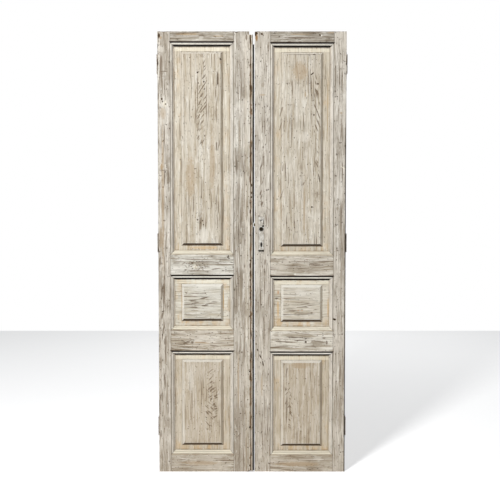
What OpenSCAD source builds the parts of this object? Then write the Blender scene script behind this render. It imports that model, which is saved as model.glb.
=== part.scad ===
// Pair of panelled double doors: two framed leaves with raised panels, a cover strip
// on the left leaf, a mortise lock in the right leaf, flush bolts and butt hinges.
// X runs across the pair, Y from the front to the back, Z up from the foot of the leaves.

/* [Leaf] */
// Height of each leaf
leaf_h = 2400; // [2000:10:2900]
// Width of each leaf
leaf_w = 495; // [440:5:620]
// Thickness of the stiles and rails
leaf_t = 44; // [37:1:54]
// Gap between the edges of the two leaves
meet_gap = 30; // [29:1:36]
// Flat face of the stile on the hinge side
hinge_stile_w = 66; // [62:1:90]
// Flat face of the stile on the meeting side
meet_stile_w = 84; // [82:1:110]

/* [Rails and openings] */
// Top rail, from the top edge to its opening
top_rail_h = 78; // [70:1:120]
// Lock rail, from opening to opening
lock_rail_h = 159; // [110:1:200]
// Rail below the middle panel, from opening to opening
lower_rail_h = 161; // [110:1:200]
// Bottom rail, from the foot to its opening
bottom_rail_h = 119; // [100:1:200]
// Height of the middle opening
mid_open_h = 255; // [160:1:400]
// Height of the bottom opening
low_open_h = 527; // [300:1:640]
// How much lower the rails sit in the right leaf
right_rail_drop = 5; // [0:1:10]

/* [Moulding and panels] */
// Width of the moulding along each opening
mould_w = 22; // [21:1:28]
// Radius of the bead of the moulding
bead_r = 5.2; // [4:0.1:5.5]
// Thickness of a panel where it enters its groove
panel_edge_t = 12; // [8:1:14]
// Height of the raised field over the panel's margin
panel_raise = 8; // [4:0.5:10]
// Width of the slope round the raised field
panel_slope = 13; // [8:1:20]
// Flat margin beside the field
side_margin = 37; // [20:1:50]
// Flat margin above and below the field
end_margin = 26; // [16:1:40]
// How far a panel enters its groove
tongue = 9; // [6:1:10]

/* [Joinery] */
// Thickness of the tenons
tenon_t = 14; // [10:1:16]
// Shoulder of a tenon above and below it
tenon_shoulder = 10; // [6:1:14]
// Length of the stub tenons in the meeting stiles
stub_tenon = 48; // [30:1:50]
// Height of a wedge at its thick end
wedge_h = 5; // [3:0.5:6]

/* [Cover strip] */
// Width of the cover strip
strip_w = 42; // [38:1:50]
// Thickness of the cover strip
strip_t = 13; // [10:1:16]
// How far the strip stands past the edge of its leaf
strip_over = 20; // [14:1:20]
// Distance of the strip's upper end below the top of the leaf
strip_top_gap = 20; // [0:1:40]
// Distance of the strip's lower end above the foot of the leaf
strip_foot_gap = 8; // [0:1:20]
// Number of nails that hold the strip
strip_nails = 9; // [5:1:12]
// Thickness of the low lip along the strip's free side
lip_t = 2.5; // [2:0.5:4]
// Gap that is left between the lip and the other leaf
lip_clear = 3.7; // [3.5:0.1:5]
// How far the lip stops below the top of the strip
lip_top_gap = 50; // [0:5:80]

/* [Hinges] */
// Height of a hinge
hinge_h = 102; // [76:1:127]
// Width of a hinge plate
hinge_plate_w = 35; // [30:1:37]
// Thickness of a hinge plate
hinge_t = 2.8; // [2:0.1:3.5]
// Gap between the two plates of a closed hinge
hinge_gap = 3; // [2:0.5:5]
// Outer radius of the hinge knuckle
knuckle_r = 6; // [5.5:0.5:8]
// Radius of the hinge pin
pin_r = 3; // [2.5:0.5:4]
// Centre of the top hinge below the top of the leaf
top_hinge_z = 171; // [150:1:260]
// Centre of the bottom hinge above the foot of the leaf
bottom_hinge_z = 250; // [190:1:300]
// Distance of the screw holes from the long sides of a hinge plate
hinge_hole_side = 8.5; // [7:0.5:10]
// Distance of the screw holes from the ends of a hinge plate
hinge_hole_end = 13; // [7:0.5:20]

/* [Lock] */
// Height of the lower end of the lock plates
lock_z = 1222; // [1215:1:1260]
// Height of the lock plates and of the forend
lock_plate_h = 182; // [176:1:200]
// Width of the lock plates
lock_plate_w = 29; // [26:1:34]
// Distance of the spindle and keyhole from the edge of the leaf
backset = 35.5; // [30:0.5:43]
// Height of the spindle above the lower end of the plates
spindle_rise = 115; // [110:1:118]
// Height of the keyhole above the lower end of the plates
key_rise = 28; // [27:1:29]
// Depth of the lock case behind the forend
case_depth = 62; // [60:1:66]
// Thickness of the lock case
case_t = 14; // [13:1:16]
// How far the latch stands out at rest
latch_out = 5.5; // [4:0.1:5.5]
// Travel of the dead bolt
bolt_throw = 14; // [8:1:16]

/* [Flush bolts] */
// Radius of a flush-bolt rod
rod_r = 4.5; // [3.5:0.5:5]
// Length of a flush-bolt rod
rod_l = 200; // [170:5:260]
// Travel of a flush bolt
rod_throw = 18; // [12:1:22]

/* [Hidden] */
$fn = 48;
// Clearances
joint_gap = 0.15;     // shoulders, mitres and tenons
panel_clear = 0.3;    // panel faces in their grooves
metal_clear = 0.1;    // plates in their recesses
slide_clear = 0.3;    // moving lock pieces
turn_clear = 0.05;    // pins and journals in their bores
over = 1;             // overrun of a cut past a face

pair_w = 2 * leaf_w + meet_gap;
half_t = leaf_t / 2;
recess_d = (leaf_t - panel_edge_t) / 2;
groove_t = panel_edge_t + 2 * panel_clear;
groove_d = tongue + 3;
field_t = panel_edge_t + 2 * panel_raise;

// Heights of the openings, as [lower edge, upper edge], from the foot up
low_z = [bottom_rail_h, bottom_rail_h + low_open_h];
mid_z = [low_z[1] + lower_rail_h, low_z[1] + lower_rail_h + mid_open_h];
top_z = [mid_z[1] + lock_rail_h, leaf_h - top_rail_h];
OPENINGS = [low_z, mid_z, top_z];
LEFT = 0;
RIGHT = 1;
drop = [0, right_rail_drop];
// Lower and upper edge of rail number i, counted from the foot
function rail_z(i, side) = [i == 0 ? 0 : OPENINGS[i - 1][1] - drop[side],
                            i == 3 ? leaf_h : OPENINGS[i][0] - drop[side]];
function has_lower_mould(i) = i > 0;
function has_upper_mould(i) = i < 3;
function face_low(i, side) = rail_z(i, side)[0] + (has_lower_mould(i) ? mould_w : 0);
function face_high(i, side) = rail_z(i, side)[1] - (has_upper_mould(i) ? mould_w : 0);
function tenon_z(i, side) = [face_low(i, side) + tenon_shoulder, face_high(i, side) - tenon_shoulder];

// Hinges
hinge_zs = [bottom_hinge_z, (bottom_hinge_z + leaf_h - top_hinge_z) / 2 + 22, leaf_h - top_hinge_z];
knuckles = 5;
knuckle_h = hinge_h / knuckles;
knuckle_gap = 0.15;
axis_u = -hinge_gap / 2;
axis_y = half_t + knuckle_r + 0.5;
plate_y1 = half_t - 0.5;
plate_y0 = plate_y1 - hinge_plate_w;
hole_y = (plate_y0 + plate_y1) / 2;
hinge_hole_y = hinge_plate_w - 2 * hinge_hole_side;
hinge_hole_z = hinge_h - 2 * hinge_hole_end;
jamb_hole_r = 2.75;
screw_shank_r = 2.4;
screw_head_r = 4.6;
screw_head_h = 2.2;
screw_l = 28;
plate_screw_l = 19;
plate_shank_r = 2;
plate_head_r = 3.8;
plate_head_h = 2;

// Lock, in places measured from the edge of the right leaf
lock_x = meet_gap / 2;
forend_t = 2.5;
forend_w = 22;
plate_t = 2.2;
plate_sink = 1.5;
plate_foot_gap = 8;
knob_hole_r = 10;
spindle_z = lock_z + spindle_rise;
key_z = lock_z + key_rise;
spindle_x = lock_x + backset;
case_x0 = lock_x + forend_t;
case_x1 = case_x0 + case_depth;
case_z0 = lock_z + 14;
case_z1 = lock_z + lock_plate_h - 14;
wall = 1.8;
cap_t = 1.6;
floor_y = case_t / 2 - wall;
part_y0 = -case_t / 2 + cap_t + slide_clear;
part_y1 = floor_y - slide_clear;
hub_r = 10;
journal_r = 7;
spindle_w = 8.2;
arm_r = 22;
arm_tip_r = 3;
latch_h = 16;
latch_z = spindle_z + arm_r - 7;
latch_tail = spindle_x + 11;
bolt_h = 18;
bolt_z = key_z + 16;
bolt_tail = spindle_x + 15;
stump_r = 2.5;
stump_x = lock_x + 19;
stump_z = bolt_z + 11;
spring_r = 60;
spring_half = 14;
spring_t = 0.8;
screw_m_r = 1.5;
plate_screw_in = 6;

// Flush bolts
rod_in = 14;
flush_plate_w = 18;
flush_plate_h = 130;
flush_plate_in = 12;
thumb_at = 78;
thumb_h = 14;
thumb_w = 7;
flush_screw_l = 8.5;

// Cover strip
strip_x1 = -meet_gap / 2 + strip_over;
strip_x0 = strip_x1 - strip_w;
lip_x1 = meet_gap / 2 - lip_clear;
nail_r = 1.6;
nail_head_r = 3;
nail_l = 24;
nail_x = strip_x0 + 14;

SIDES = ["left", "right"];
HEIGHTS = ["bottom", "middle", "top"];
WOOD = "ivory";
RAW_WOOD = "burlywood";
METAL = "dimgray";
BRASS = "darkkhaki";

// ---------- Placing and small shapes ----------

// Moves a leaf drawn from its hinge edge (u = 0) to its place; the right leaf is mirrored
module place_leaf(side) {
    mirror([side, 0, 0])
        translate([-pair_w / 2, 0, 0])
            children();
}

// Box between two corners
module block(low, high) {
    translate(low) cube(high - low);
}

// Cylinder along Y from y0 to y1
module y_rod(x, z, r, y0, y1) {
    translate([x, y0, z]) rotate([-90, 0, 0]) cylinder(r = r, h = y1 - y0);
}

// Cylinder along X from x0 to x1
module x_rod(y, z, r, x0, x1) {
    translate([x0, y, z]) rotate([0, 90, 0]) cylinder(r = r, h = x1 - x0);
}

// Outline in X and Z, given thickness from y0 to y1
module slab_y(y0, y1) {
    translate([0, y1, 0]) rotate([90, 0, 0]) linear_extrude(y1 - y0) children();
}

// Section in Y and Z, drawn along X from x0 to x1
module bar_x(x0, x1) {
    translate([x0, 0, 0]) rotate([90, 0, 90]) linear_extrude(x1 - x0) children();
}

// Countersunk slotted screw along +X, with its head flush at x = 0
module wood_screw(len, shank_r, head_r, head_h) {
    difference() {
        union() {
            rotate([0, 90, 0]) cylinder(r1 = head_r, r2 = shank_r, h = head_h);
            rotate([0, 90, 0]) cylinder(r = shank_r, h = len - 3 * shank_r);
            translate([len - 3 * shank_r, 0, 0])
                rotate([0, 90, 0]) cylinder(r1 = shank_r, r2 = 0.3, h = 3 * shank_r);
        }
        block([-over, -head_r, -0.5], [head_h / 3, head_r, 0.5]);
    }
}

// Pilot hole and countersink for that screw
module screw_bore(len, shank_r, head_r, head_h, clear) {
    translate([-over, 0, 0]) rotate([0, 90, 0]) cylinder(r = shank_r + clear, h = len + over + clear);
    rotate([0, 90, 0]) cylinder(r1 = head_r + clear, r2 = shank_r + clear, h = head_h);
}

// Small countersunk screw of the forend, the strike and the flush plates, and its bore
module plate_wood_screw(len) {
    wood_screw(len, plate_shank_r, plate_head_r, plate_head_h);
}

module plate_screw_bore(len) {
    screw_bore(len, plate_shank_r, plate_head_r, plate_head_h, metal_clear);
}

// ---------- Moulding ----------

// What is cut from a square corner to leave quirk, bead, hollow and fillet.
// Across (x) from the face's edge to the opening, down (y) from the face.
quirk_w = 1.6;
quirk_d = 4.5;
bead_top = 1.2;
foot_w = 2.2;
foot_d = recess_d - 2.4;
module mould_cut() {
    bead_x = quirk_w + bead_r;
    bead_y = bead_top + bead_r;
    hollow_r = mould_w - foot_w - bead_x - bead_r;
    difference() {
        translate([0, -over]) square([mould_w + over, recess_d + over]);
        translate([bead_x, bead_y]) circle(r = bead_r);
        translate([-over, quirk_d]) square([quirk_w + 2 + over, recess_d]);
        translate([bead_x, bead_y]) square([bead_r, recess_d]);
        difference() {
            translate([bead_x, bead_y]) square([bead_r + hollow_r, recess_d]);
            translate([bead_x + bead_r + hollow_r, foot_d - hollow_r]) circle(r = hollow_r);
            translate([bead_x + bead_r, 0]) square([hollow_r + over, foot_d - hollow_r]);
        }
        translate([mould_w - foot_w, foot_d]) square([foot_w + 2 * over, recess_d]);
    }
}

// Moulding and groove cut from both faces of an edge that lies at x = edge_x
module edge_cuts(edge_x) {
    for (face = [0, 1])
        mirror([0, face]) translate([edge_x - mould_w, -half_t]) mould_cut();
    translate([edge_x - groove_d, -groove_t / 2]) square([groove_d + over, groove_t]);
}

// ---------- Stiles, rails and panels ----------

// Front outline of a stile whose flat face is face_w wide
module stile_outline(face_w, side) {
    edge = face_w + mould_w;
    inner = [for (o = OPENINGS) for (p = [
        [face_w, o[0] - mould_w], [edge, o[0]], [edge, o[1]], [face_w, o[1] + mould_w]
    ]) [p[0], p[1] - drop[side]]];
    polygon(concat([[0, 0], [face_w, 0]], inner, [[face_w, leaf_h], [0, leaf_h]]));
}

module stile_blank(face_w, side) {
    intersection() {
        linear_extrude(leaf_h)
            difference() {
                translate([0, -half_t]) square([face_w + mould_w, leaf_t]);
                edge_cuts(face_w + mould_w);
            }
        slab_y(-half_t - over, half_t + over) stile_outline(face_w, side);
    }
}

// Mortises of the hinge stile go right through and flare towards the edge for the wedges
module through_mortises(side) {
    for (i = [0:3]) {
        t = tenon_z(i, side);
        g = joint_gap;
        slab_y(-tenon_t / 2 - g, tenon_t / 2 + g)
            polygon([[-over, t[0] - wedge_h - 2 * g], [hinge_stile_w, t[0] - g],
                     [hinge_stile_w + over, t[0] - g], [hinge_stile_w + over, t[1] + g],
                     [hinge_stile_w, t[1] + g], [-over, t[1] + wedge_h + 2 * g]]);
    }
}

module stub_mortises(side) {
    for (i = [0:3]) {
        t = tenon_z(i, side);
        block([leaf_w - meet_stile_w - over, -tenon_t / 2 - joint_gap, t[0] - joint_gap],
              [leaf_w - meet_stile_w + stub_tenon + 2 * joint_gap, tenon_t / 2 + joint_gap, t[1] + joint_gap]);
    }
}

module hinge_stile(side) {
    color(WOOD) place_leaf(side)
        difference() {
            stile_blank(hinge_stile_w, side);
            through_mortises(side);
            for (z = hinge_zs) {
                block([-over, plate_y0 - metal_clear, z - hinge_h / 2 - metal_clear],
                      [hinge_t + metal_clear, half_t + over, z + hinge_h / 2 + metal_clear]);
                hinge_screw_places(z) screw_bore(screw_l, screw_shank_r, screw_head_r, screw_head_h, metal_clear);
            }
        }
}

// The meeting stile is the stile turned round, without its cuts for lock or bolts
module meeting_stile_blank(side) {
    place_leaf(side)
        difference() {
            translate([leaf_w, 0, 0]) mirror([1, 0, 0]) stile_blank(meet_stile_w, side);
            stub_mortises(side);
        }
}

module rail(i, side) {
    z = rail_z(i, side);
    f = [face_low(i, side), face_high(i, side)];
    t = tenon_z(i, side);
    g = joint_gap;
    u0 = hinge_stile_w + g;
    u1 = leaf_w - meet_stile_w - g;
    color(WOOD) place_leaf(side)
        union() {
            intersection() {
                bar_x(u0, u1)
                    difference() {
                        translate([-half_t, z[0]]) square([leaf_t, z[1] - z[0]]);
                        if (has_upper_mould(i)) translate([0, z[1]]) rotate(90) mirror([0, 1]) edge_cuts(0);
                        if (has_lower_mould(i)) translate([0, z[0]]) rotate(-90) edge_cuts(0);
                    }
                slab_y(-half_t - over, half_t + over)
                    polygon([[u0, f[0]], [u0 + (f[0] - z[0]), z[0]], [u1 - (f[0] - z[0]), z[0]], [u1, f[0]],
                             [u1, f[1]], [u1 - (z[1] - f[1]), z[1]], [u0 + (z[1] - f[1]), z[1]], [u0, f[1]]]);
            }
            block([0, -tenon_t / 2, t[0]], [u0 + groove_d, tenon_t / 2, t[1]]);
            block([u1 - groove_d, -tenon_t / 2, t[0]],
                  [leaf_w - meet_stile_w + stub_tenon, tenon_t / 2, t[1]]);
        }
}

// Section of the raised field, between two margins
module field_section(a, b) {
    polygon([[a, -panel_edge_t / 2], [a + panel_slope, -field_t / 2],
             [b - panel_slope, -field_t / 2], [b, -panel_edge_t / 2],
             [b, panel_edge_t / 2], [b - panel_slope, field_t / 2],
             [a + panel_slope, field_t / 2], [a, panel_edge_t / 2]]);
}

module panel(i, side) {
    u = [hinge_stile_w + mould_w, leaf_w - meet_stile_w - mould_w];
    z = [OPENINGS[i][0] - drop[side], OPENINGS[i][1] - drop[side]];
    color(WOOD) place_leaf(side)
        union() {
            block([u[0] - tongue, -panel_edge_t / 2, z[0] - tongue],
                  [u[1] + tongue, panel_edge_t / 2, z[1] + tongue]);
            intersection() {
                translate([0, 0, z[0]]) linear_extrude(z[1] - z[0])
                    field_section(u[0] + side_margin, u[1] - side_margin);
                bar_x(u[0], u[1])
                    rotate(90) mirror([0, 1]) field_section(z[0] + end_margin, z[1] - end_margin);
            }
        }
}

module wedges(side) {
    color(RAW_WOOD) place_leaf(side)
        for (i = [0:3], end = [0, 1]) {
            t = tenon_z(i, side);
            s = end == 0 ? -1 : 1;
            slab_y(-tenon_t / 2, tenon_t / 2)
                polygon([[0, t[end] + s * joint_gap], [hinge_stile_w * 0.7, t[end] + s * joint_gap],
                         [hinge_stile_w * 0.7, t[end] + s * (joint_gap + wedge_h * 0.25)],
                         [0, t[end] + s * (joint_gap + wedge_h * 0.95)]]);
        }
}

// ---------- Hinges ----------

module hinge_screw_places(z) {
    for (dy = [-0.5, 0.5], dz = [-0.5, 0.5])
        translate([0, hole_y + dy * hinge_hole_y, z + dz * hinge_hole_z]) children();
}

// A plate with its knuckles; the leaf plate has knuckles 1 and 3, the jamb plate 0, 2 and 4
module hinge_plate(z, own, u) {
    z0 = z - hinge_h / 2;
    difference() {
        union() {
            block([u[0], plate_y0, z0], [u[1], plate_y1, z0 + hinge_h]);
            for (k = own) {
                a = z0 + k * knuckle_h + (k == 0 ? 0 : knuckle_gap);
                b = z0 + (k + 1) * knuckle_h - (k == knuckles - 1 ? 0 : knuckle_gap);
                block([u[0], plate_y1 - over, a], [u[1], axis_y, b]);
                translate([axis_u, axis_y, a]) cylinder(r = knuckle_r, h = b - a);
            }
        }
        translate([axis_u, axis_y, z0 - over]) cylinder(r = pin_r + turn_clear, h = hinge_h + 2 * over);
    }
}

module leaf_plate(side, h) {
    color(METAL) place_leaf(side)
        difference() {
            hinge_plate(hinge_zs[h], [1, 3], [0, hinge_t]);
            hinge_screw_places(hinge_zs[h])
                screw_bore(screw_l, screw_shank_r, screw_head_r, screw_head_h, metal_clear / 2);
        }
}

module jamb_plate(side, h) {
    u = [-hinge_gap - hinge_t, -hinge_gap];
    color(METAL) place_leaf(side)
        difference() {
            hinge_plate(hinge_zs[h], [0, 2, 4], u);
            translate([u[1], 0, 0]) hinge_screw_places(hinge_zs[h])
                mirror([1, 0, 0])
                    screw_bore(screw_l, jamb_hole_r, screw_head_r, screw_head_h, 0);
        }
}

module hinge_pins(side) {
    tip_r = knuckle_r - 1;
    color(METAL) place_leaf(side)
        for (z = hinge_zs) translate([axis_u, axis_y, z - hinge_h / 2]) {
            translate([0, 0, -2]) cylinder(r = pin_r, h = hinge_h + 4);
            for (end = [0, 1]) translate([0, 0, end * hinge_h]) mirror([0, 0, 1 - end]) {
                translate([0, 0, turn_clear]) cylinder(r = tip_r, h = 2);
                translate([0, 0, 1.6 + tip_r * 0.8]) sphere(r = tip_r * 0.85);
            }
        }
}

module hinge_screws(side) {
    color(METAL) place_leaf(side)
        for (z = hinge_zs) hinge_screw_places(z)
            wood_screw(screw_l - 1, screw_shank_r, screw_head_r, screw_head_h);
}

// ---------- Cover strip and strike on the left leaf ----------

// Section of the lip, with a small cove where it meets the strip
module lip_outline(reach) {
    polygon([[strip_x1 - over, -half_t], [reach, -half_t], [reach, -half_t - lip_t + 1],
             [strip_x1 + 1.2, -half_t - lip_t], [strip_x1, -half_t - lip_t - 2],
             [strip_x1 - over, -half_t - lip_t - 2]]);
}

// The lip is cut back beside the latch, so that the leaf can swing past it
module strip_lip() {
    notch = [latch_z - 3, latch_z + latch_h + 3];
    notch_x = meet_gap / 2 - latch_out - 2.6;
    top = leaf_h - strip_top_gap - lip_top_gap;
    translate([0, 0, strip_foot_gap]) linear_extrude(notch[0] - strip_foot_gap) lip_outline(lip_x1);
    translate([0, 0, notch[0] - over]) linear_extrude(notch[1] - notch[0] + 2 * over) lip_outline(notch_x);
    translate([0, 0, notch[1]]) linear_extrude(top - notch[1]) lip_outline(lip_x1);
}

module cover_strip() {
    y0 = -half_t - strip_t;
    edge_r = 5;
    bead_w = 9.5;
    groove_w = 5;
    color(WOOD)
        union() {
            translate([0, 0, strip_foot_gap]) linear_extrude(leaf_h - strip_foot_gap - strip_top_gap)
                union() {
                    translate([strip_x0 + edge_r, y0 + edge_r]) circle(r = edge_r);
                    translate([strip_x0, y0 + edge_r]) square([edge_r + over, strip_t - edge_r]);
                    translate([strip_x0 + edge_r, y0])
                        square([strip_w - edge_r - bead_w - groove_w, strip_t]);
                    translate([strip_x0 + edge_r, y0 + 4]) square([strip_w - edge_r - bead_w / 2, strip_t - 4]);
                    translate([strip_x1 - bead_w / 2, y0 + bead_w / 2]) circle(r = bead_w / 2);
                    translate([strip_x1 - bead_w, y0 + bead_w / 2]) square([bead_w, strip_t - bead_w / 2]);
                }
            strip_lip();
        }
}

// Places of the nails, spread evenly along the strip
module nail_places() {
    span = leaf_h - strip_foot_gap - strip_top_gap;
    for (i = [0:strip_nails - 1])
        translate([nail_x, 0, strip_foot_gap + span * (i + 0.5) / strip_nails]) children();
}

module strip_nail(clear) {
    y0 = -half_t - strip_t;
    y_rod(0, 0, nail_head_r + clear, y0 - clear * over, y0 + 1.2);
    y_rod(0, 0, nail_r + clear, y0, y0 + nail_l + clear);
}

strike_z0 = lock_z + 18;
strike_z1 = lock_z + lock_plate_h - 14;
keep_y = 6;
keep_d = 24;
module keep_cuts(x0, x1) {
    block([x0, -keep_y, bolt_z - 2], [x1, keep_y, bolt_z + bolt_h + 2]);
    block([x0, -keep_y, latch_z - 2], [x1, keep_y, latch_z + latch_h + 2]);
}

module strike_screw_places() {
    for (z = [strike_z0 + 9, strike_z1 - 8])
        translate([-meet_gap / 2, 0, z]) mirror([1, 0, 0]) children();
}

module strike_plate() {
    color(METAL)
        difference() {
            block([-meet_gap / 2 - forend_t, -forend_w / 2, strike_z0], [-meet_gap / 2, forend_w / 2, strike_z1]);
            keep_cuts(-meet_gap / 2 - forend_t - over, -meet_gap / 2 + over);
            strike_screw_places() plate_screw_bore(plate_screw_l);
        }
}

// ---------- Flush bolts in the edge of the left leaf ----------

rod_x = -meet_gap / 2 - rod_in;
// Puts a bolt drawn at the top of the leaf there (end 1) or upside down at the foot (end 0)
module place_bolt(end) {
    translate([0, 0, end * leaf_h]) mirror([0, 0, 1 - end]) children();
}

module flush_plate_screw_places() {
    for (z = [-flush_plate_in - 8, -flush_plate_in - flush_plate_h + 8])
        translate([-meet_gap / 2, 0, z]) mirror([1, 0, 0]) children();
}

module thumb_slot(x0, x1) {
    z0 = -thumb_at - thumb_h / 2 - slide_clear;
    block([x0, -thumb_w / 2 - slide_clear, z0],
          [x1, thumb_w / 2 + slide_clear, -z0 - 2 * thumb_at + rod_throw]);
}

module flush_plate(end) {
    color(METAL) place_bolt(end)
        difference() {
            block([-meet_gap / 2 - forend_t, -flush_plate_w / 2, -flush_plate_in - flush_plate_h],
                  [-meet_gap / 2, flush_plate_w / 2, -flush_plate_in]);
            thumb_slot(-meet_gap / 2 - forend_t - over, -meet_gap / 2 + over);
            flush_plate_screw_places() plate_screw_bore(flush_screw_l);
        }
}

module flush_bolt(end) {
    color(METAL) place_bolt(end)
        union() {
            translate([rod_x, 0, -rod_l]) cylinder(r = rod_r, h = rod_l - 1);
            block([rod_x, -thumb_w / 2, -thumb_at - thumb_h / 2],
                  [-meet_gap / 2 + 3, thumb_w / 2, -thumb_at + thumb_h / 2]);
        }
}

module flush_bolt_cuts(end) {
    place_bolt(end) {
        translate([rod_x, 0, -rod_l - over]) cylinder(r = rod_r + slide_clear, h = rod_l + 2 * over);
        thumb_slot(rod_x, -meet_gap / 2 + over);
        block([-meet_gap / 2 - forend_t - metal_clear, -flush_plate_w / 2 - metal_clear,
               -flush_plate_in - flush_plate_h - metal_clear],
              [-meet_gap / 2 + over, flush_plate_w / 2 + metal_clear, -flush_plate_in + metal_clear]);
        flush_plate_screw_places() plate_screw_bore(flush_screw_l);
    }
}

module left_meeting_stile() {
    color(WOOD)
        difference() {
            meeting_stile_blank(LEFT);
            block([-meet_gap / 2 - forend_t - metal_clear, -forend_w / 2 - metal_clear, strike_z0 - metal_clear],
                  [-meet_gap / 2 + over, forend_w / 2 + metal_clear, strike_z1 + metal_clear]);
            keep_cuts(-meet_gap / 2 - keep_d, -meet_gap / 2 + over);
            strike_screw_places() plate_screw_bore(plate_screw_l);
            for (end = [0, 1]) flush_bolt_cuts(end);
            nail_places() strip_nail(metal_clear);
        }
}

// ---------- Lock in the right leaf ----------

// Keyhole: a round head over a slot
module keyhole(clear) {
    translate([spindle_x, key_z + 7]) circle(r = 4 + clear);
    translate([spindle_x - 2.6 - clear, key_z - 11 - clear]) square([5.2 + 2 * clear, 18 + clear]);
}

module lock_plate_screw_places() {
    for (s = [-1, 1], z = [lock_z + plate_screw_in, lock_z + lock_plate_h - plate_screw_in])
        mirror([0, s == 1 ? 1 : 0, 0])
            translate([spindle_x, -half_t + plate_sink - plate_t, z]) rotate([0, 0, 90]) children();
}

// Plate let into a face of the stile; the front one has lost a corner beside the knob hole
module lock_plate(chipped) {
    x = [spindle_x - lock_plate_w / 2, spindle_x + lock_plate_w / 2];
    slab_y(-half_t + plate_sink - plate_t, -half_t + plate_sink)
        difference() {
            translate([x[0], lock_z]) square([lock_plate_w, lock_plate_h]);
            translate([spindle_x, spindle_z]) circle(r = knob_hole_r);
            keyhole(0);
            for (z = [lock_z + plate_screw_in, lock_z + lock_plate_h - plate_screw_in])
                translate([spindle_x, z]) circle(r = screw_m_r + metal_clear);
            if (chipped) chip_outline();
        }
}

// Three-cornered hole beside the knob hole
module chip_outline() {
    translate([spindle_x, spindle_z])
        polygon([[3.5, 11.5], [13, 22], [13.5, 11]]);
}

// Front outline of the recess for a plate; the front one runs on below the plate
module plate_recess(y0, y1, foot) {
    block([spindle_x - lock_plate_w / 2 - metal_clear, y0, lock_z - foot - metal_clear],
          [spindle_x + lock_plate_w / 2 + metal_clear, y1, lock_z + lock_plate_h + metal_clear]);
}

module right_meeting_stile() {
    color(WOOD)
        difference() {
            meeting_stile_blank(RIGHT);
            block([lock_x - over, -forend_w / 2 - metal_clear, lock_z - metal_clear],
                  [case_x0, forend_w / 2 + metal_clear, lock_z + lock_plate_h + metal_clear]);
            block([case_x0 - over, -case_t / 2 - metal_clear, case_z0 - metal_clear],
                  [case_x1 + metal_clear, case_t / 2 + metal_clear, case_z1 + metal_clear]);
            y_rod(spindle_x, spindle_z, knob_hole_r, -half_t - over, half_t + over);
            slab_y(-half_t - over, half_t + over) keyhole(0.4);
            plate_recess(-half_t - over, -half_t + plate_sink, plate_foot_gap);
            plate_recess(half_t - plate_sink, half_t + over, 0);
            block([spindle_x - lock_plate_w / 2 + over, -half_t - over, lock_z - plate_foot_gap],
                  [spindle_x + lock_plate_w / 2 - over, -half_t + plate_sink + 3, lock_z - over]);
            slab_y(-half_t - over, -half_t + 9) chip_outline();
            forend_screw_places() plate_screw_bore(plate_screw_l);
            lock_plate_screw_places() screw_bore(12, screw_m_r, screw_m_r, over, metal_clear);
        }
}

module lock_plate_screws() {
    color(METAL) lock_plate_screw_places()
        difference() {
            union() {
                x_rod(0, 0, screw_m_r, -over / 2, 11);
                translate([-over, 0, 0]) rotate([0, 90, 0]) cylinder(r1 = 2.2, r2 = 3.2, h = over - turn_clear);
            }
            block([-2 * over, -0.4, -4], [-0.5 * over, 0.4, 4]);
        }
}

module forend_screw_places() {
    for (z = [lock_z + 7, lock_z + lock_plate_h - 7])
        translate([lock_x, 0, z]) children();
}

module forend() {
    c = slide_clear;
    color(METAL)
        difference() {
            block([lock_x, -forend_w / 2, lock_z], [case_x0, forend_w / 2, lock_z + lock_plate_h]);
            block([lock_x - over, part_y0 - c, latch_z - c], [case_x0 + over, part_y1 + c, latch_z + latch_h + c]);
            block([lock_x - over, part_y0 - c, bolt_z - c], [case_x0 + over, part_y1 + c, bolt_z + bolt_h + c]);
            forend_screw_places() plate_screw_bore(plate_screw_l);
        }
}

cap_screw_x = case_x1 - 9;
cap_screw_z = spindle_z - 22;
module lock_case() {
    spring_z = bolt_z + bolt_h + slide_clear + spring_half * spring_half / (2 * spring_r) + spring_t;
    color(METAL)
        difference() {
            union() {
                block([case_x0, floor_y, case_z0], [case_x1, case_t / 2, case_z1]);
                difference() {
                    block([case_x0, -case_t / 2 + cap_t, case_z0], [case_x1, case_t / 2, case_z1]);
                    block([case_x0 - over, -case_t / 2, case_z0 + wall], [case_x1 - wall, floor_y, case_z1 - wall]);
                }
                y_rod(stump_x, stump_z, stump_r, -case_t / 2 + cap_t, floor_y + over);
                y_rod(cap_screw_x, cap_screw_z, 4, -case_t / 2 + cap_t, floor_y + over);
                for (s = [-1, 1])
                    y_rod(spindle_x - 5 + s * (spring_half - 2), spring_z + 1.7, 1.4,
                          -case_t / 2 + cap_t, floor_y + over);
            }
            y_rod(spindle_x, spindle_z, journal_r + turn_clear, 0, case_t);
            slab_y(-case_t, case_t) keyhole(0.2);
            y_rod(cap_screw_x, cap_screw_z, screw_m_r + turn_clear, -case_t, floor_y - over);
        }
}

module lock_cap() {
    color(METAL)
        difference() {
            block([case_x0, -case_t / 2, case_z0], [case_x1, -case_t / 2 + cap_t - turn_clear, case_z1]);
            y_rod(spindle_x, spindle_z, journal_r + turn_clear, -case_t, case_t);
            slab_y(-case_t, case_t) keyhole(0.2);
            y_rod(cap_screw_x, cap_screw_z, screw_m_r + metal_clear, -case_t, case_t);
            y_rod(cap_screw_x, cap_screw_z, 3.2, -case_t, -case_t / 2 + 0.8);
        }
}

module lock_cap_screw() {
    color(METAL)
        difference() {
            union() {
                y_rod(cap_screw_x, cap_screw_z, screw_m_r, -case_t / 2, floor_y - 2);
                y_rod(cap_screw_x, cap_screw_z, 3, -case_t / 2, -case_t / 2 + 0.75);
            }
            block([cap_screw_x - 4, -case_t, cap_screw_z - 0.4], [cap_screw_x + 4, -case_t / 2 + 0.4, cap_screw_z + 0.4]);
        }
}

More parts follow.
